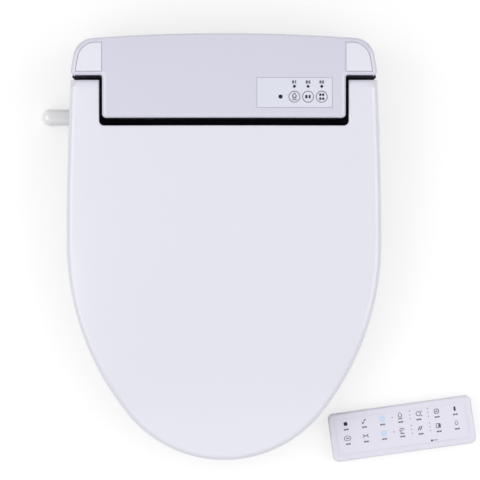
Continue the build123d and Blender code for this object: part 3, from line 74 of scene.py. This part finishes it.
def noise(tree, scale, detail=3.0, stretch=(1, 1, 1)):
    """Noise on object coordinates; stretch squeezes it along an axis."""
    place = tree.nodes.new("ShaderNodeTexCoord")
    mapping = tree.nodes.new("ShaderNodeMapping")
    mapping.inputs["Scale"].default_value = stretch
    cloud = tree.nodes.new("ShaderNodeTexNoise")
    cloud.inputs["Scale"].default_value = scale
    cloud.inputs["Detail"].default_value = detail
    tree.links.new(place.outputs["Object"], mapping.inputs["Vector"])
    tree.links.new(mapping.outputs["Vector"], cloud.inputs["Vector"])
    return cloud.outputs["Fac"]


def tinted(tree, shader, factor, colour, spread):
    """Base colour that drifts a little either side of the given one."""
    mix = tree.nodes.new("ShaderNodeMix")
    mix.data_type = "RGBA"
    mix.inputs["A"].default_value = (*[c * (1 - spread) for c in colour], 1)
    mix.inputs["B"].default_value = (*[min(c * (1 + spread), 1) for c in colour], 1)
    tree.links.new(factor, mix.inputs["Factor"])
    tree.links.new(mix.outputs["Result"], shader.inputs["Base Color"])


def rough_between(tree, shader, factor, low, high):
    """Roughness that follows a noise between two values."""
    span = tree.nodes.new("ShaderNodeMapRange")
    span.inputs["From Min"].default_value = NOISE_LOW
    span.inputs["From Max"].default_value = NOISE_HIGH
    span.inputs["To Min"].default_value = low
    span.inputs["To Max"].default_value = high
    tree.links.new(factor, span.inputs["Value"])
    tree.links.new(span.outputs["Result"], shader.inputs["Roughness"])


def grained(tree, shader, factor, depth):
    """Bump from a noise, depth in metres."""
    bump = tree.nodes.new("ShaderNodeBump")
    bump.inputs["Strength"].default_value = GRAIN_STRENGTH
    bump.inputs["Distance"].default_value = depth
    tree.links.new(factor, bump.inputs["Height"])
    tree.links.new(bump.outputs["Normal"], shader.inputs["Normal"])


def gloss_moulding(name, colour, roughness=0.16, coat=0.35, drift=0.01):
    """Polished moulding: slow colour drift, faint fine grain."""
    material, tree, shader = finish(name, roughness, coat=coat)
    tinted(tree, shader, noise(tree, scale=7), colour, drift)
    rough_between(tree, shader, noise(tree, scale=900), roughness * 0.95, roughness * 1.08)
    grained(tree, shader, noise(tree, scale=1400), 0.004 * MM)
    return material


def moulding_with_painted_seam_shade(name, colour, roughness, coat):
    """Polished moulding with painted shade: its colour darkens in the narrow seams round the pieces let
    into it, where shade falls.
    """
    material = gloss_moulding(name, colour, roughness, coat)
    tree = material.node_tree
    base_colour = tree.nodes["Principled BSDF"].inputs["Base Color"]
    plain = base_colour.links[0].from_socket
    # Occlusion mask; the mix below paints shade into the base colour
    seam_shade_mask = tree.nodes.new("ShaderNodeAmbientOcclusion")
    seam_shade_mask.samples = 8
    seam_shade_mask.inputs["Distance"].default_value = SEAM_SHADE_REACH
    span = tree.nodes.new("ShaderNodeMapRange")
    span.inputs["From Min"].default_value = SEAM_SHADE_LOW
    span.inputs["From Max"].default_value = SEAM_SHADE_HIGH
    mix = tree.nodes.new("ShaderNodeMix")
    mix.data_type = "RGBA"
    mix.inputs["A"].default_value = (*SEAM_PAINTED_SHADE, 1)
    tree.links.new(seam_shade_mask.outputs["AO"], span.inputs["Value"])
    tree.links.new(span.outputs["Result"], mix.inputs["Factor"])
    tree.links.new(plain, mix.inputs["B"])
    tree.links.new(mix.outputs["Result"], base_colour)
    return material


def textured_moulding(name, colour, roughness, depth=0.05, shine=0.5):
    """Spark-eroded moulding: fine even grain, its depth in millimetres."""
    material, tree, shader = finish(name, roughness)
    shader.inputs["Specular IOR Level"].default_value = shine
    tinted(tree, shader, noise(tree, scale=25), colour, spread=0.05)
    rough_between(tree, shader, noise(tree, scale=180), roughness * 0.85, roughness * 1.15)
    grained(tree, shader, noise(tree, scale=1500, detail=2), depth * MM)
    return material


def soft_rubber(name, colour):
    """Bumper rubber: dull, dusty, slightly uneven."""
    material, tree, shader = finish(name, roughness=0.75)
    tinted(tree, shader, noise(tree, scale=120), colour, spread=0.12)
    rough_between(tree, shader, noise(tree, scale=300), 0.65, 0.9)
    grained(tree, shader, noise(tree, scale=2200), 0.04 * MM)
    shader.inputs["Sheen Weight"].default_value = 0.15
    return material


def turned_metal(name, colour, roughness=0.28, stretch=(40, 1, 1)):
    """Metal with fine tool marks across one axis."""
    material, tree, shader = finish(name, roughness, metallic=1.0)
    tinted(tree, shader, noise(tree, scale=60), colour, spread=0.06)
    tool_marks = noise(tree, scale=90, stretch=stretch)
    rough_between(tree, shader, tool_marks, roughness * 0.7, roughness * 1.4)
    grained(tree, shader, tool_marks, 0.01 * MM)
    return material


def board_laminate(name, colour):
    """Circuit board: solder-resist green with a woven ground."""
    material, tree, shader = finish(name, roughness=0.35, coat=0.2)
    tinted(tree, shader, noise(tree, scale=900, stretch=(1, 6, 1)), colour, spread=0.18)
    rough_between(tree, shader, noise(tree, scale=200), 0.28, 0.45)
    return material


def dark_lens(name, colour):
    """Smoked window over an indicator."""
    material, tree, shader = finish(name, roughness=0.08, coat=0.6)
    tinted(tree, shader, noise(tree, scale=300), colour, spread=0.3)
    rough_between(tree, shader, noise(tree, scale=500), 0.05, 0.12)
    return material


def ink(name, colour):
    """Screen print: flat, with slightly uneven cover."""
    material, tree, shader = finish(name, roughness=0.45)
    tinted(tree, shader, noise(tree, scale=1500), colour, spread=0.12)
    rough_between(tree, shader, noise(tree, scale=2000), 0.4, 0.5)
    return material


LID_WHITE = (0.79, 0.79, 0.87)
COVER_WHITE = (0.695, 0.69, 0.805)
CAP_WHITE = (0.81, 0.81, 0.895)
SEAT_WHITE = (0.79, 0.79, 0.84)
PANEL_WHITE = (0.73, 0.743, 0.837)
BUTTON_WHITE = (0.76, 0.76, 0.85)
ELBOW_WHITE = (0.97, 0.97, 0.985)
REMOTE_WHITE = (0.77, 0.755, 0.85)
# Near-black chassis: painted shade, so the gaps over it read as shadow
CHASSIS_PAINTED_SHADE_BLACK = (0.009, 0.009, 0.014)
# Black plastic frame, darkened further as painted shade so the gaps over it read as shadow
FRAME_BLACK_WITH_PAINTED_SHADE = (0.009, 0.009, 0.012)

FINISHES = {
    "lid_white": gloss_moulding("lid white", LID_WHITE),
    # The cover's finish paints shade into its narrow seams
    "cover_white": moulding_with_painted_seam_shade("cover white with painted seam shade", COVER_WHITE, roughness=0.22, coat=1.0),
    "cap_white": gloss_moulding("cap white", CAP_WHITE, roughness=0.2),
    "seat_white": gloss_moulding("seat white", SEAT_WHITE, roughness=0.18),
    "seat_under": textured_moulding("seat underside", (0.7, 0.7, 0.74), roughness=0.45),
    # Chassis finish: near-black as painted shade in the gaps
    "chassis_black": textured_moulding("chassis painted shade black", CHASSIS_PAINTED_SHADE_BLACK, roughness=0.6, shine=0.15),
    "panel_white": gloss_moulding("panel film", PANEL_WHITE, roughness=0.3, coat=0.1),
    "button_white": gloss_moulding("button white", BUTTON_WHITE, roughness=0.25),
    "control_grey": textured_moulding("control grey", (0.34, 0.345, 0.36), roughness=0.45),
    "lens_black": dark_lens("smoked lens", (0.008, 0.008, 0.016)),
    "board_green": board_laminate("board laminate", (0.02, 0.16, 0.07)),
    "component_black": textured_moulding("component black", (0.015, 0.015, 0.016), roughness=0.4),
    # Frame finish: black plastic, darkened as painted shade in the gaps
    "frame_black": textured_moulding("glass-filled black with painted shade", FRAME_BLACK_WITH_PAINTED_SHADE, roughness=0.6, shine=0.15),
    "acetal_white": textured_moulding("natural acetal", (0.68, 0.66, 0.6), roughness=0.4, depth=0.02),
    "nozzle_white": gloss_moulding("nozzle white", (0.78, 0.78, 0.8), roughness=0.2),
    "elbow_white": gloss_moulding("elbow white", ELBOW_WHITE, roughness=0.22, coat=1.0),
    "bumper_rubber": soft_rubber("bumper rubber", (0.27, 0.275, 0.29)),
    "steel": turned_metal("turned steel", (0.6, 0.6, 0.61)),
    "shaft_black": turned_metal("blackened steel", (0.03, 0.03, 0.033), roughness=0.4),
    "foil": turned_metal("heater foil", (0.78, 0.78, 0.79), roughness=0.35, stretch=(1, 20, 1)),
    "remote_white": gloss_moulding("remote white", REMOTE_WHITE, roughness=0.28, coat=0.15),
    "keypad_white": gloss_moulding("keypad film", REMOTE_WHITE, roughness=0.4, coat=0.0),
    "cell_wrap": turned_metal("cell wrap", (0.09, 0.11, 0.18), roughness=0.35),
}
INK_DARK = ink("dark ink", (0.012, 0.012, 0.03))
INK_GREY = ink("grey ink", (0.15, 0.15, 0.21))
INK_BLUE = ink("pale blue ink", (0.6, 0.71, 0.88))

# Pieces whose finish differs from their slot's
OWN_FINISH = {
    "hinge_cap_left": "cap_white",
    "hinge_cap_right": "cap_white",
    "lid_shaft": "shaft_black",
    "seat_shaft": "shaft_black",
}


def dress(piece, material):
    """Give a piece one material."""
    piece.data.materials.clear()
    piece.data.materials.append(material)


for node, slot in slot_of.items():
    dress(nodes[node], FINISHES[OWN_FINISH.get(node, slot)])


# Printed marks: flat shapes drawn in millimetres, joined, laid on a surface and thickened
INK_THICK = 0.08 * MM
INK_LIFT = 0.02 * MM
DRAWING_HEIGHT = 0.2
DROP_PULL = 0.65
DROP_REACH = 1.4
BAR_ROUND = 0.25
NUMBER_WEIGHT = 0.06
NUMBER_SPACING = 1.25


def drawn_at(x, y):
    """Place on the drawing plane, above the object."""
    return x * MM, y * MM, DRAWING_HEIGHT


def pick_faces(piece, wanted):
    """Leave a piece in edit mode with the wanted faces selected."""
    bpy.ops.object.mode_set(mode="EDIT")
    bpy.ops.mesh.select_mode(type="FACE")
    bpy.ops.mesh.select_all(action="DESELECT")
    bpy.ops.object.mode_set(mode="OBJECT")
    for face in piece.data.polygons:
        face.select = wanted(face)
    bpy.ops.object.mode_set(mode="EDIT")


def dot(x, y, radius):
    """Filled round mark."""
    bpy.ops.object.select_all(action="DESELECT")
    place = drawn_at(x, y)
    bpy.ops.mesh.primitive_circle_add(vertices=24, radius=radius * MM, fill_type="NGON", location=place)
    return bpy.context.object


def ring(x, y, radius, line, squeeze=1.0, sides=40):
    """Outline of a circle, or of an oval where it is squeezed along Y."""
    bpy.ops.object.select_all(action="DESELECT")
    place = drawn_at(x, y)
    bpy.ops.mesh.primitive_circle_add(vertices=sides, radius=radius * MM, location=place)
    bpy.ops.object.mode_set(mode="EDIT")
    bpy.ops.mesh.select_mode(type="VERT")
    bpy.ops.mesh.select_all(action="SELECT")
    bpy.ops.mesh.extrude_region()
    inner = 1 - line / radius
    bpy.ops.transform.resize(value=(inner, inner, 1), center_override=place)
    bpy.ops.mesh.select_all(action="SELECT")
    bpy.ops.transform.resize(value=(1, squeeze, 1), center_override=place)
    bpy.ops.object.mode_set(mode="OBJECT")
    return bpy.context.object


def arc(x, y, radius, line, start, end):
    """Part of a ring between two angles in degrees, counted from +X."""
    piece = ring(x, y, radius, line, sides=72)

    def outside(face):
        return not start <= degrees(atan2(face.center.y, face.center.x)) % 360 <= end

    pick_faces(piece, outside)
    bpy.ops.mesh.delete(type="FACE")
    bpy.ops.object.mode_set(mode="OBJECT")
    return piece


def drop(x, y, radius, line):
    """Outline of a water drop with its point upwards."""
    piece = ring(x, y, radius, line, sides=24)
    size = radius * MM
    bpy.ops.object.mode_set(mode="EDIT")
    bpy.ops.mesh.select_mode(type="VERT")
    bpy.ops.mesh.select_all(action="DESELECT")
    bpy.ops.object.mode_set(mode="OBJECT")
    for corner in piece.data.vertices:
        corner.select = corner.co.y > 0.5 * size and abs(corner.co.x) < 0.05 * size
    bpy.ops.object.mode_set(mode="EDIT")
    bpy.ops.transform.translate(
        value=(0, DROP_PULL * size, 0),
        use_proportional_edit=True,
        proportional_edit_falloff="SHARP",
        proportional_size=DROP_REACH * size,
    )
    bpy.ops.object.mode_set(mode="OBJECT")
    return piece


def bar(x, y, width, height, turn=0.0):
    """Short bar with its corners taken off, turned by an angle in degrees."""
    bpy.ops.object.select_all(action="DESELECT")
    rotation = (0, 0, radians(turn))
    bpy.ops.mesh.primitive_plane_add(size=1, location=drawn_at(x, y), rotation=rotation)
    piece = bpy.context.object
    piece.scale = (width * MM, height * MM, 1)
    bpy.ops.object.transform_apply(location=False, rotation=False, scale=True)
    bpy.ops.object.mode_set(mode="EDIT")
    bpy.ops.mesh.select_all(action="SELECT")
    corner = BAR_ROUND * min(width, height) * MM
    bpy.ops.mesh.bevel(offset=corner, segments=3, affect="VERTICES")
    bpy.ops.object.mode_set(mode="OBJECT")
    return piece


def frame_mark(x, y, size, line):
    """Outline of a square."""
    piece = bar(x, y, size, size)
    bpy.ops.object.mode_set(mode="EDIT")
    bpy.ops.mesh.select_all(action="SELECT")
    bpy.ops.mesh.inset(thickness=line * MM)
    bpy.ops.mesh.delete(type="FACE")
    bpy.ops.object.mode_set(mode="OBJECT")
    return piece


def numeral(x, y, digits, height):
    """Plain number."""
    bpy.ops.object.select_all(action="DESELECT")
    bpy.ops.object.text_add()
    words = bpy.context.object.data
    words.body = digits
    words.size = height * MM
    words.offset = NUMBER_WEIGHT * words.size
    words.space_character = NUMBER_SPACING
    words.align_x = "CENTER"
    words.align_y = "CENTER"
    bpy.ops.object.convert(target="MESH")
    piece = bpy.context.object
    piece.location = drawn_at(x, y)
    return piece


def joined(name, marks):
    """One flat piece from several marks, facing up, with its place in its mesh."""
    bpy.ops.object.select_all(action="DESELECT")
    for mark in marks:
        mark.select_set(True)
    bpy.context.view_layer.objects.active = marks[0]
    bpy.ops.object.join()
    piece = bpy.context.object
    piece.name = name
    bpy.ops.object.transform_apply(location=True, rotation=True, scale=True)
    pick_faces(piece, lambda face: face.normal.z < 0)
    bpy.ops.mesh.flip_normals()
    bpy.ops.object.mode_set(mode="OBJECT")
    return piece


def printed(piece, material, surface, body):
    """Lay a flat piece on a node from above and give it the ink's thickness."""
    bpy.ops.object.modifier_add(type="SHRINKWRAP")
    wrap = piece.modifiers[-1]
    wrap.wrap_method = "PROJECT"
    wrap.use_project_z = True
    wrap.use_positive_direction = False
    wrap.use_negative_direction = True
    wrap.target = nodes[surface]
    wrap.offset = INK_LIFT
    bpy.ops.object.modifier_apply(modifier=wrap.name)
    bpy.ops.object.modifier_add(type="SOLIDIFY")
    wall = piece.modifiers[-1]
    wall.thickness = INK_THICK
    wall.offset = 1
    bpy.ops.object.modifier_apply(modifier=wall.name)
    dress(piece, material)
    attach(piece, body)


# Panel print, in millimetres: rings round the buttons, numbers over the indicators, signs on the buttons
BUTTON_X = 102.8
BUTTON_Y = -5.4
BUTTON_PITCH = 16.7
BUTTON_HOLE_R = 6.6
RING_GAP = 0.04
RING_LINE = 0.5
NUMBER_Y = 12.3
NUMBER_HEIGHT = 4.9
SIGN_LINE = 1.15
button_x = [BUTTON_X + i * BUTTON_PITCH for i in (-1, 0, 1)]


def panel_print():
    """Rings and numbers on the panel plate."""
    radius = BUTTON_HOLE_R + RING_GAP + RING_LINE
    rings = [ring(x, BUTTON_Y, radius, RING_LINE, sides=64) for x in button_x]
    printed(joined("panel_rings", rings), INK_GREY, "panel_plate", "base")
    numbers = [numeral(x, NUMBER_Y, f"0{i}", NUMBER_HEIGHT) for i, x in enumerate(button_x, start=1)]
    printed(joined("panel_numbers", numbers), INK_DARK, "panel_plate", "base")


def button_signs():
    """A drop over an arc, two blocks, and four blocks."""
    left, middle, right = button_x
    signs = {
        "button_left": [
            drop(left, BUTTON_Y + 0.6, 2.7, SIGN_LINE),
            arc(left, BUTTON_Y + 2.0, 6.2, 0.9, 238, 302),
        ],
        "button_middle": [
            bar(middle - 2.0, BUTTON_Y, 3.0, 4.2),
            bar(middle + 1.9, BUTTON_Y, 2.4, 4.2),
        ],
        "button_right": [
            bar(right + dx, BUTTON_Y + dy, 2.7, 3.0) for dx in (-1.75, 1.75) for dy in (-2.4, 2.4)
        ],
    }
    for button, marks in signs.items():
        printed(joined(f"{button}_sign", marks), INK_DARK, button, button)


# Remote print, in millimetres from its centre before it is turned: keys in two rows, each with a caption
REMOTE_TURN = radians(8)
REMOTE_LENGTH = 180
REMOTE_WIDTH = 60
COLUMNS = 7
COLUMN_STEP = 22.9
FIRST_COLUMN = 20.9
UPPER_ROW, LOWER_ROW = 14.2, 32.4
ROWS = (UPPER_ROW, LOWER_ROW)
WINDOW_COLUMN = 2
WINDOW_SIZE = 7.5
KEY_LINE = 0.75
CAPTION_DROP = 7.2
CAPTION_SIZE = (2.9, 1.9)
CAPTION_ASIDE = 1.6
SINGLE_DOT_ASIDE = 10.0
SINGLE_DOT_R = 0.65
LEVEL_ASIDE = 10.6
LEVEL_STEP = 4.8
LEVEL_R = 0.6
LAMP_DOWN = 49.6
LAMP_ASIDE = 104.0
LAMP_R = 1.3

remote_low, remote_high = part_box("remote_front")
REMOTE_CENTRE = (remote_low + remote_high) / 2


def key_place(column, down):
    """Place by column from the left and distance below the remote's upper edge."""
    return FIRST_COLUMN + column * COLUMN_STEP - REMOTE_LENGTH / 2, REMOTE_WIDTH / 2 - down


def block(x, y):
    return [bar(x, y, 4.6, 4.6)]


def oval_with_bar(x, y):
    return [ring(x, y, 4.4, KEY_LINE, squeeze=0.75), bar(x, y, 4.0, 1.0)]


def slanted_dashes(x, y):
    return [bar(x + 1.3, y + 1.5, 3.8, 1.2, 50), bar(x - 1.2, y - 1.8, 2.4, 1.8, 50)]


def arcs_back_to_back(x, y):
    return [arc(x, y + 3.8, 4.2, KEY_LINE, 205, 335), arc(x, y - 3.8, 4.2, KEY_LINE, 25, 155)]


def drop_on_line(x, y):
    return [drop(x, y + 1.0, 2.5, KEY_LINE), bar(x, y - 3.0, 5.2, 1.0)]


def open_ring_on_line(x, y):
    ring_y = y + 0.6
    return [arc(x, ring_y, 3.0, KEY_LINE, 0, 270), bar(x, y - 3.4, 5.2, 1.0), bar(x, ring_y, 2.2, 0.9)]


def ring_with_rays(x, y):
    rays = [bar(x + 3.9, y + side * 2.6, 2.2, 0.9, side * 45) for side in (-1, 1)]
    return [ring(x, y, 3.0, KEY_LINE), *rays]


def slanted_pair(x, y):
    return [bar(x - 1.3, y, 5.6, 1.1, 60), bar(x + 1.3, y, 5.6, 1.1, 60)]


def framed_dash(x, y):
    return [frame_mark(x, y, 6.0, KEY_LINE), bar(x, y, 3.2, 1.1, 45)]


def framed_block(x, y):
    return [frame_mark(x, y, 6.0, KEY_LINE), bar(x + 1.0, y, 1.9, 3.4)]


def upright_bar(x, y):
    return [bar(x, y, 2.4, 5.4)]


KEY_SIGNS = {
    (0, UPPER_ROW): block,
    (0, LOWER_ROW): oval_with_bar,
    (1, UPPER_ROW): slanted_dashes,
    (1, LOWER_ROW): arcs_back_to_back,
    (3, UPPER_ROW): drop_on_line,
    (3, LOWER_ROW): open_ring_on_line,
    (4, UPPER_ROW): ring_with_rays,
    (4, LOWER_ROW): slanted_pair,
    (5, UPPER_ROW): framed_dash,
    (5, LOWER_ROW): framed_block,
    (6, UPPER_ROW): upright_bar,
}


def level_dots():
    """One dot left of column 3, and three in a column left of columns 4 and 5, in both rows."""
    dots = []
    for row in ROWS:
        x, y = key_place(3, row)
        dots.append(dot(x - SINGLE_DOT_ASIDE, y, SINGLE_DOT_R))
        for column in (4, 5):
            x, y = key_place(column, row)
            dots += [dot(x - LEVEL_ASIDE, y + i * LEVEL_STEP, LEVEL_R) for i in (-1, 0, 1)]
    return dots


def captions():
    """Two short bars below each key, in place of words."""
    keys = [key_place(column, row + CAPTION_DROP) for column in range(COLUMNS) for row in ROWS]
    return [bar(x + side * CAPTION_ASIDE, y, *CAPTION_SIZE) for x, y in keys for side in (-1, 1)]


def on_keypad(name, marks, material):
    """Print marks on the remote's keypad, turned with it."""
    piece = joined(name, marks)
    centre = Matrix.Translation((REMOTE_CENTRE.x, REMOTE_CENTRE.y, 0))
    piece.matrix_world = centre @ Matrix.Rotation(REMOTE_TURN, 4, "Z")
    bpy.ops.object.transform_apply(location=True, rotation=True, scale=True)
    printed(piece, material, "remote_keypad", "remote")


def remote_print():
    """Signs, captions and the two pale windows."""
    lamp_x, lamp_y = key_place(0, LAMP_DOWN)
    lamp_x += LAMP_ASIDE
    signs = [mark for key, sign in KEY_SIGNS.items() for mark in sign(*key_place(*key))]
    signs += level_dots()
    signs.append(dot(lamp_x, lamp_y, LAMP_R))
    on_keypad("remote_signs", signs, INK_DARK)

    grey = captions()
    grey.append(drop(*key_place(6, LOWER_ROW), 2.2, KEY_LINE))
    grey.append(bar(lamp_x + 4.6, lamp_y, 5.0, 0.8))
    on_keypad("remote_captions", grey, INK_GREY)

    windows = [bar(*key_place(WINDOW_COLUMN, row), WINDOW_SIZE, WINDOW_SIZE) for row in ROWS]
    on_keypad("remote_windows", windows, INK_BLUE)


panel_print()
button_signs()
remote_print()


# Finger ribs on the two pieces that are worked from the sides
RIB_DEPTH = 0.9 * MM
RIB_PROUD = 0.5 * MM
RIB_EDGE = 0.3 * MM
RIB_STEP = 3 * MM
RIB_COUNT = 5
RIB_SMOOTH = radians(40)
UPRIGHT_RIB = (1.3 * MM, 8 * MM)
LEVEL_RIB = (20 * MM, 1.2 * MM)


def finger_ribs(node, outwards, size, across):
    """Row of rounded ribs on a node's left (-1) or right (1) face: one shaped, the rest its copies."""
    low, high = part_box(node)
    middle = (low + high) / 2
    face_x = high.x if outwards > 0 else low.x
    first = middle.yz - Vector(across) * RIB_STEP * (RIB_COUNT - 1) / 2
    bpy.ops.object.select_all(action="DESELECT")
    depth_x = face_x + outwards * (RIB_PROUD - RIB_DEPTH / 2)
    bpy.ops.mesh.primitive_cube_add(size=1, location=(depth_x, *first))
    ribs = bpy.context.object
    ribs.name = f"{node}_ribs"
    ribs.scale = (RIB_DEPTH, *size)
    bpy.ops.object.transform_apply(location=True, rotation=True, scale=True)
    bpy.ops.object.mode_set(mode="EDIT")
    bpy.ops.mesh.select_mode(type="EDGE")
    bpy.ops.mesh.select_all(action="SELECT")
    bpy.ops.mesh.bevel(offset=RIB_EDGE, segments=3, affect="EDGES")
    bpy.ops.object.mode_set(mode="OBJECT")
    bpy.ops.object.modifier_add(type="ARRAY")
    row = ribs.modifiers[-1]
    row.use_relative_offset = False
    row.use_constant_offset = True
    row.constant_offset_displace = (0, *[RIB_STEP * part for part in across])
    row.count = RIB_COUNT
    bpy.ops.object.modifier_apply(modifier=row.name)
    bpy.ops.object.shade_smooth_by_angle(angle=RIB_SMOOTH)
    dress(ribs, FINISHES[slot_of[node]])
    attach(ribs, node)


finger_ribs("release_button", outwards=-1, size=UPRIGHT_RIB, across=(1, 0))
finger_ribs("filter_drawer", outwards=1, size=LEVEL_RIB, across=(0, 1))


# Studio: pale floor, even light from all round, and a large softbox on each side
FLOOR_SIZE = 12.0
FLOOR_DROP = 0.5 * MM
FLOOR_GREY = (0.4, 0.4, 0.4)
FLOOR_LIFT = 0.64
WORLD_LIGHT = 0.31
LAMP_AIM = Vector((0, -0.18, 0.05))
SOFTBOXES = {
    "key": {"place": (-1.9, -0.3, 2.2), "size": (3.0, 2.6), "power": 44.5},
    "fill": {"place": (2.0, -0.2, 2.0), "size": (3.0, 2.6), "power": 36},
    "front": {"place": (0.1, -2.4, 1.9), "size": (3.0, 2.4), "power": 16},
    "back": {"place": (-0.2, 2.6, 1.7), "size": (3.0, 2.2), "power": 14.5},
}


def floor_finish():
    """Grey that the camera and mirrored rays see lifted to white, with the shadow kept."""
    material, tree, shader = finish("floor", roughness=0.9)
    tinted(tree, shader, noise(tree, scale=2), FLOOR_GREY, spread=0.01)
    seen = tree.nodes.new("ShaderNodeLightPath")
    mirrored = tree.nodes.new("ShaderNodeMath")
    mirrored.operation = "MAXIMUM"
    either = tree.nodes.new("ShaderNodeMath")
    either.operation = "MAXIMUM"
    lift = tree.nodes.new("ShaderNodeMath")
    lift.operation = "MULTIPLY"
    lift.inputs[1].default_value = FLOOR_LIFT
    tree.links.new(seen.outputs["Is Glossy Ray"], mirrored.inputs[0])
    tree.links.new(seen.outputs["Is Transmission Ray"], mirrored.inputs[1])
    tree.links.new(seen.outputs["Is Camera Ray"], either.inputs[0])
    tree.links.new(mirrored.outputs["Value"], either.inputs[1])
    tree.links.new(either.outputs["Value"], lift.inputs[0])
    tree.links.new(lift.outputs["Value"], shader.inputs["Emission Strength"])
    shader.inputs["Emission Color"].default_value = (1, 1, 1, 1)
    return material


def studio_floor():
    """Floor just under the object."""
    bpy.ops.object.select_all(action="DESELECT")
    bpy.ops.mesh.primitive_plane_add(size=FLOOR_SIZE, location=(0, 0, -FLOOR_DROP))
    floor = bpy.context.object
    floor.name = "floor"
    dress(floor, floor_finish())


def softbox(name, place, size, power):
    """Large area light turned to the object."""
    bpy.ops.object.light_add(type="AREA", location=place)
    lamp = bpy.context.object
    lamp.name = name
    lamp.data.shape = "RECTANGLE"
    lamp.data.size, lamp.data.size_y = size
    lamp.data.energy = power
    lamp.rotation_euler = (LAMP_AIM - Vector(place)).to_track_quat("-Z", "Y").to_euler()


def studio_light():
    """White world and the softboxes."""
    world = bpy.data.worlds.new("studio")
    bpy.context.scene.world = world
    world.use_nodes = True
    sky = world.node_tree.nodes["Background"]
    sky.inputs["Color"].default_value = (1, 1, 1, 1)
    sky.inputs["Strength"].default_value = WORLD_LIGHT
    for name, lamp in SOFTBOXES.items():
        softbox(name, **lamp)


# Camera: straight above, image up towards the back, framed at the scale of the lid's edge
FRAME_PIXELS = 480
PIXEL_SIZE = 1.234 * MM
AIM = Vector((19.7, -180.4, 75)) * MM
CAMERA_HEIGHT = 5.0
SENSOR = 36.0
FAR_CLIP = 50.0


def camera():
    """Camera above the aim, with a lens that frames the photograph's width."""
    bpy.ops.object.camera_add(location=AIM + Vector((0, 0, CAMERA_HEIGHT)))
    eye = bpy.context.object
    eye.data.sensor_fit = "HORIZONTAL"
    eye.data.sensor_width = SENSOR
    eye.data.lens = SENSOR * CAMERA_HEIGHT / (FRAME_PIXELS * PIXEL_SIZE)
    eye.data.clip_end = FAR_CLIP
    bpy.context.scene.camera = eye


studio_floor()
studio_light()
camera()
bpy.context.scene.view_settings.view_transform = "Standard"
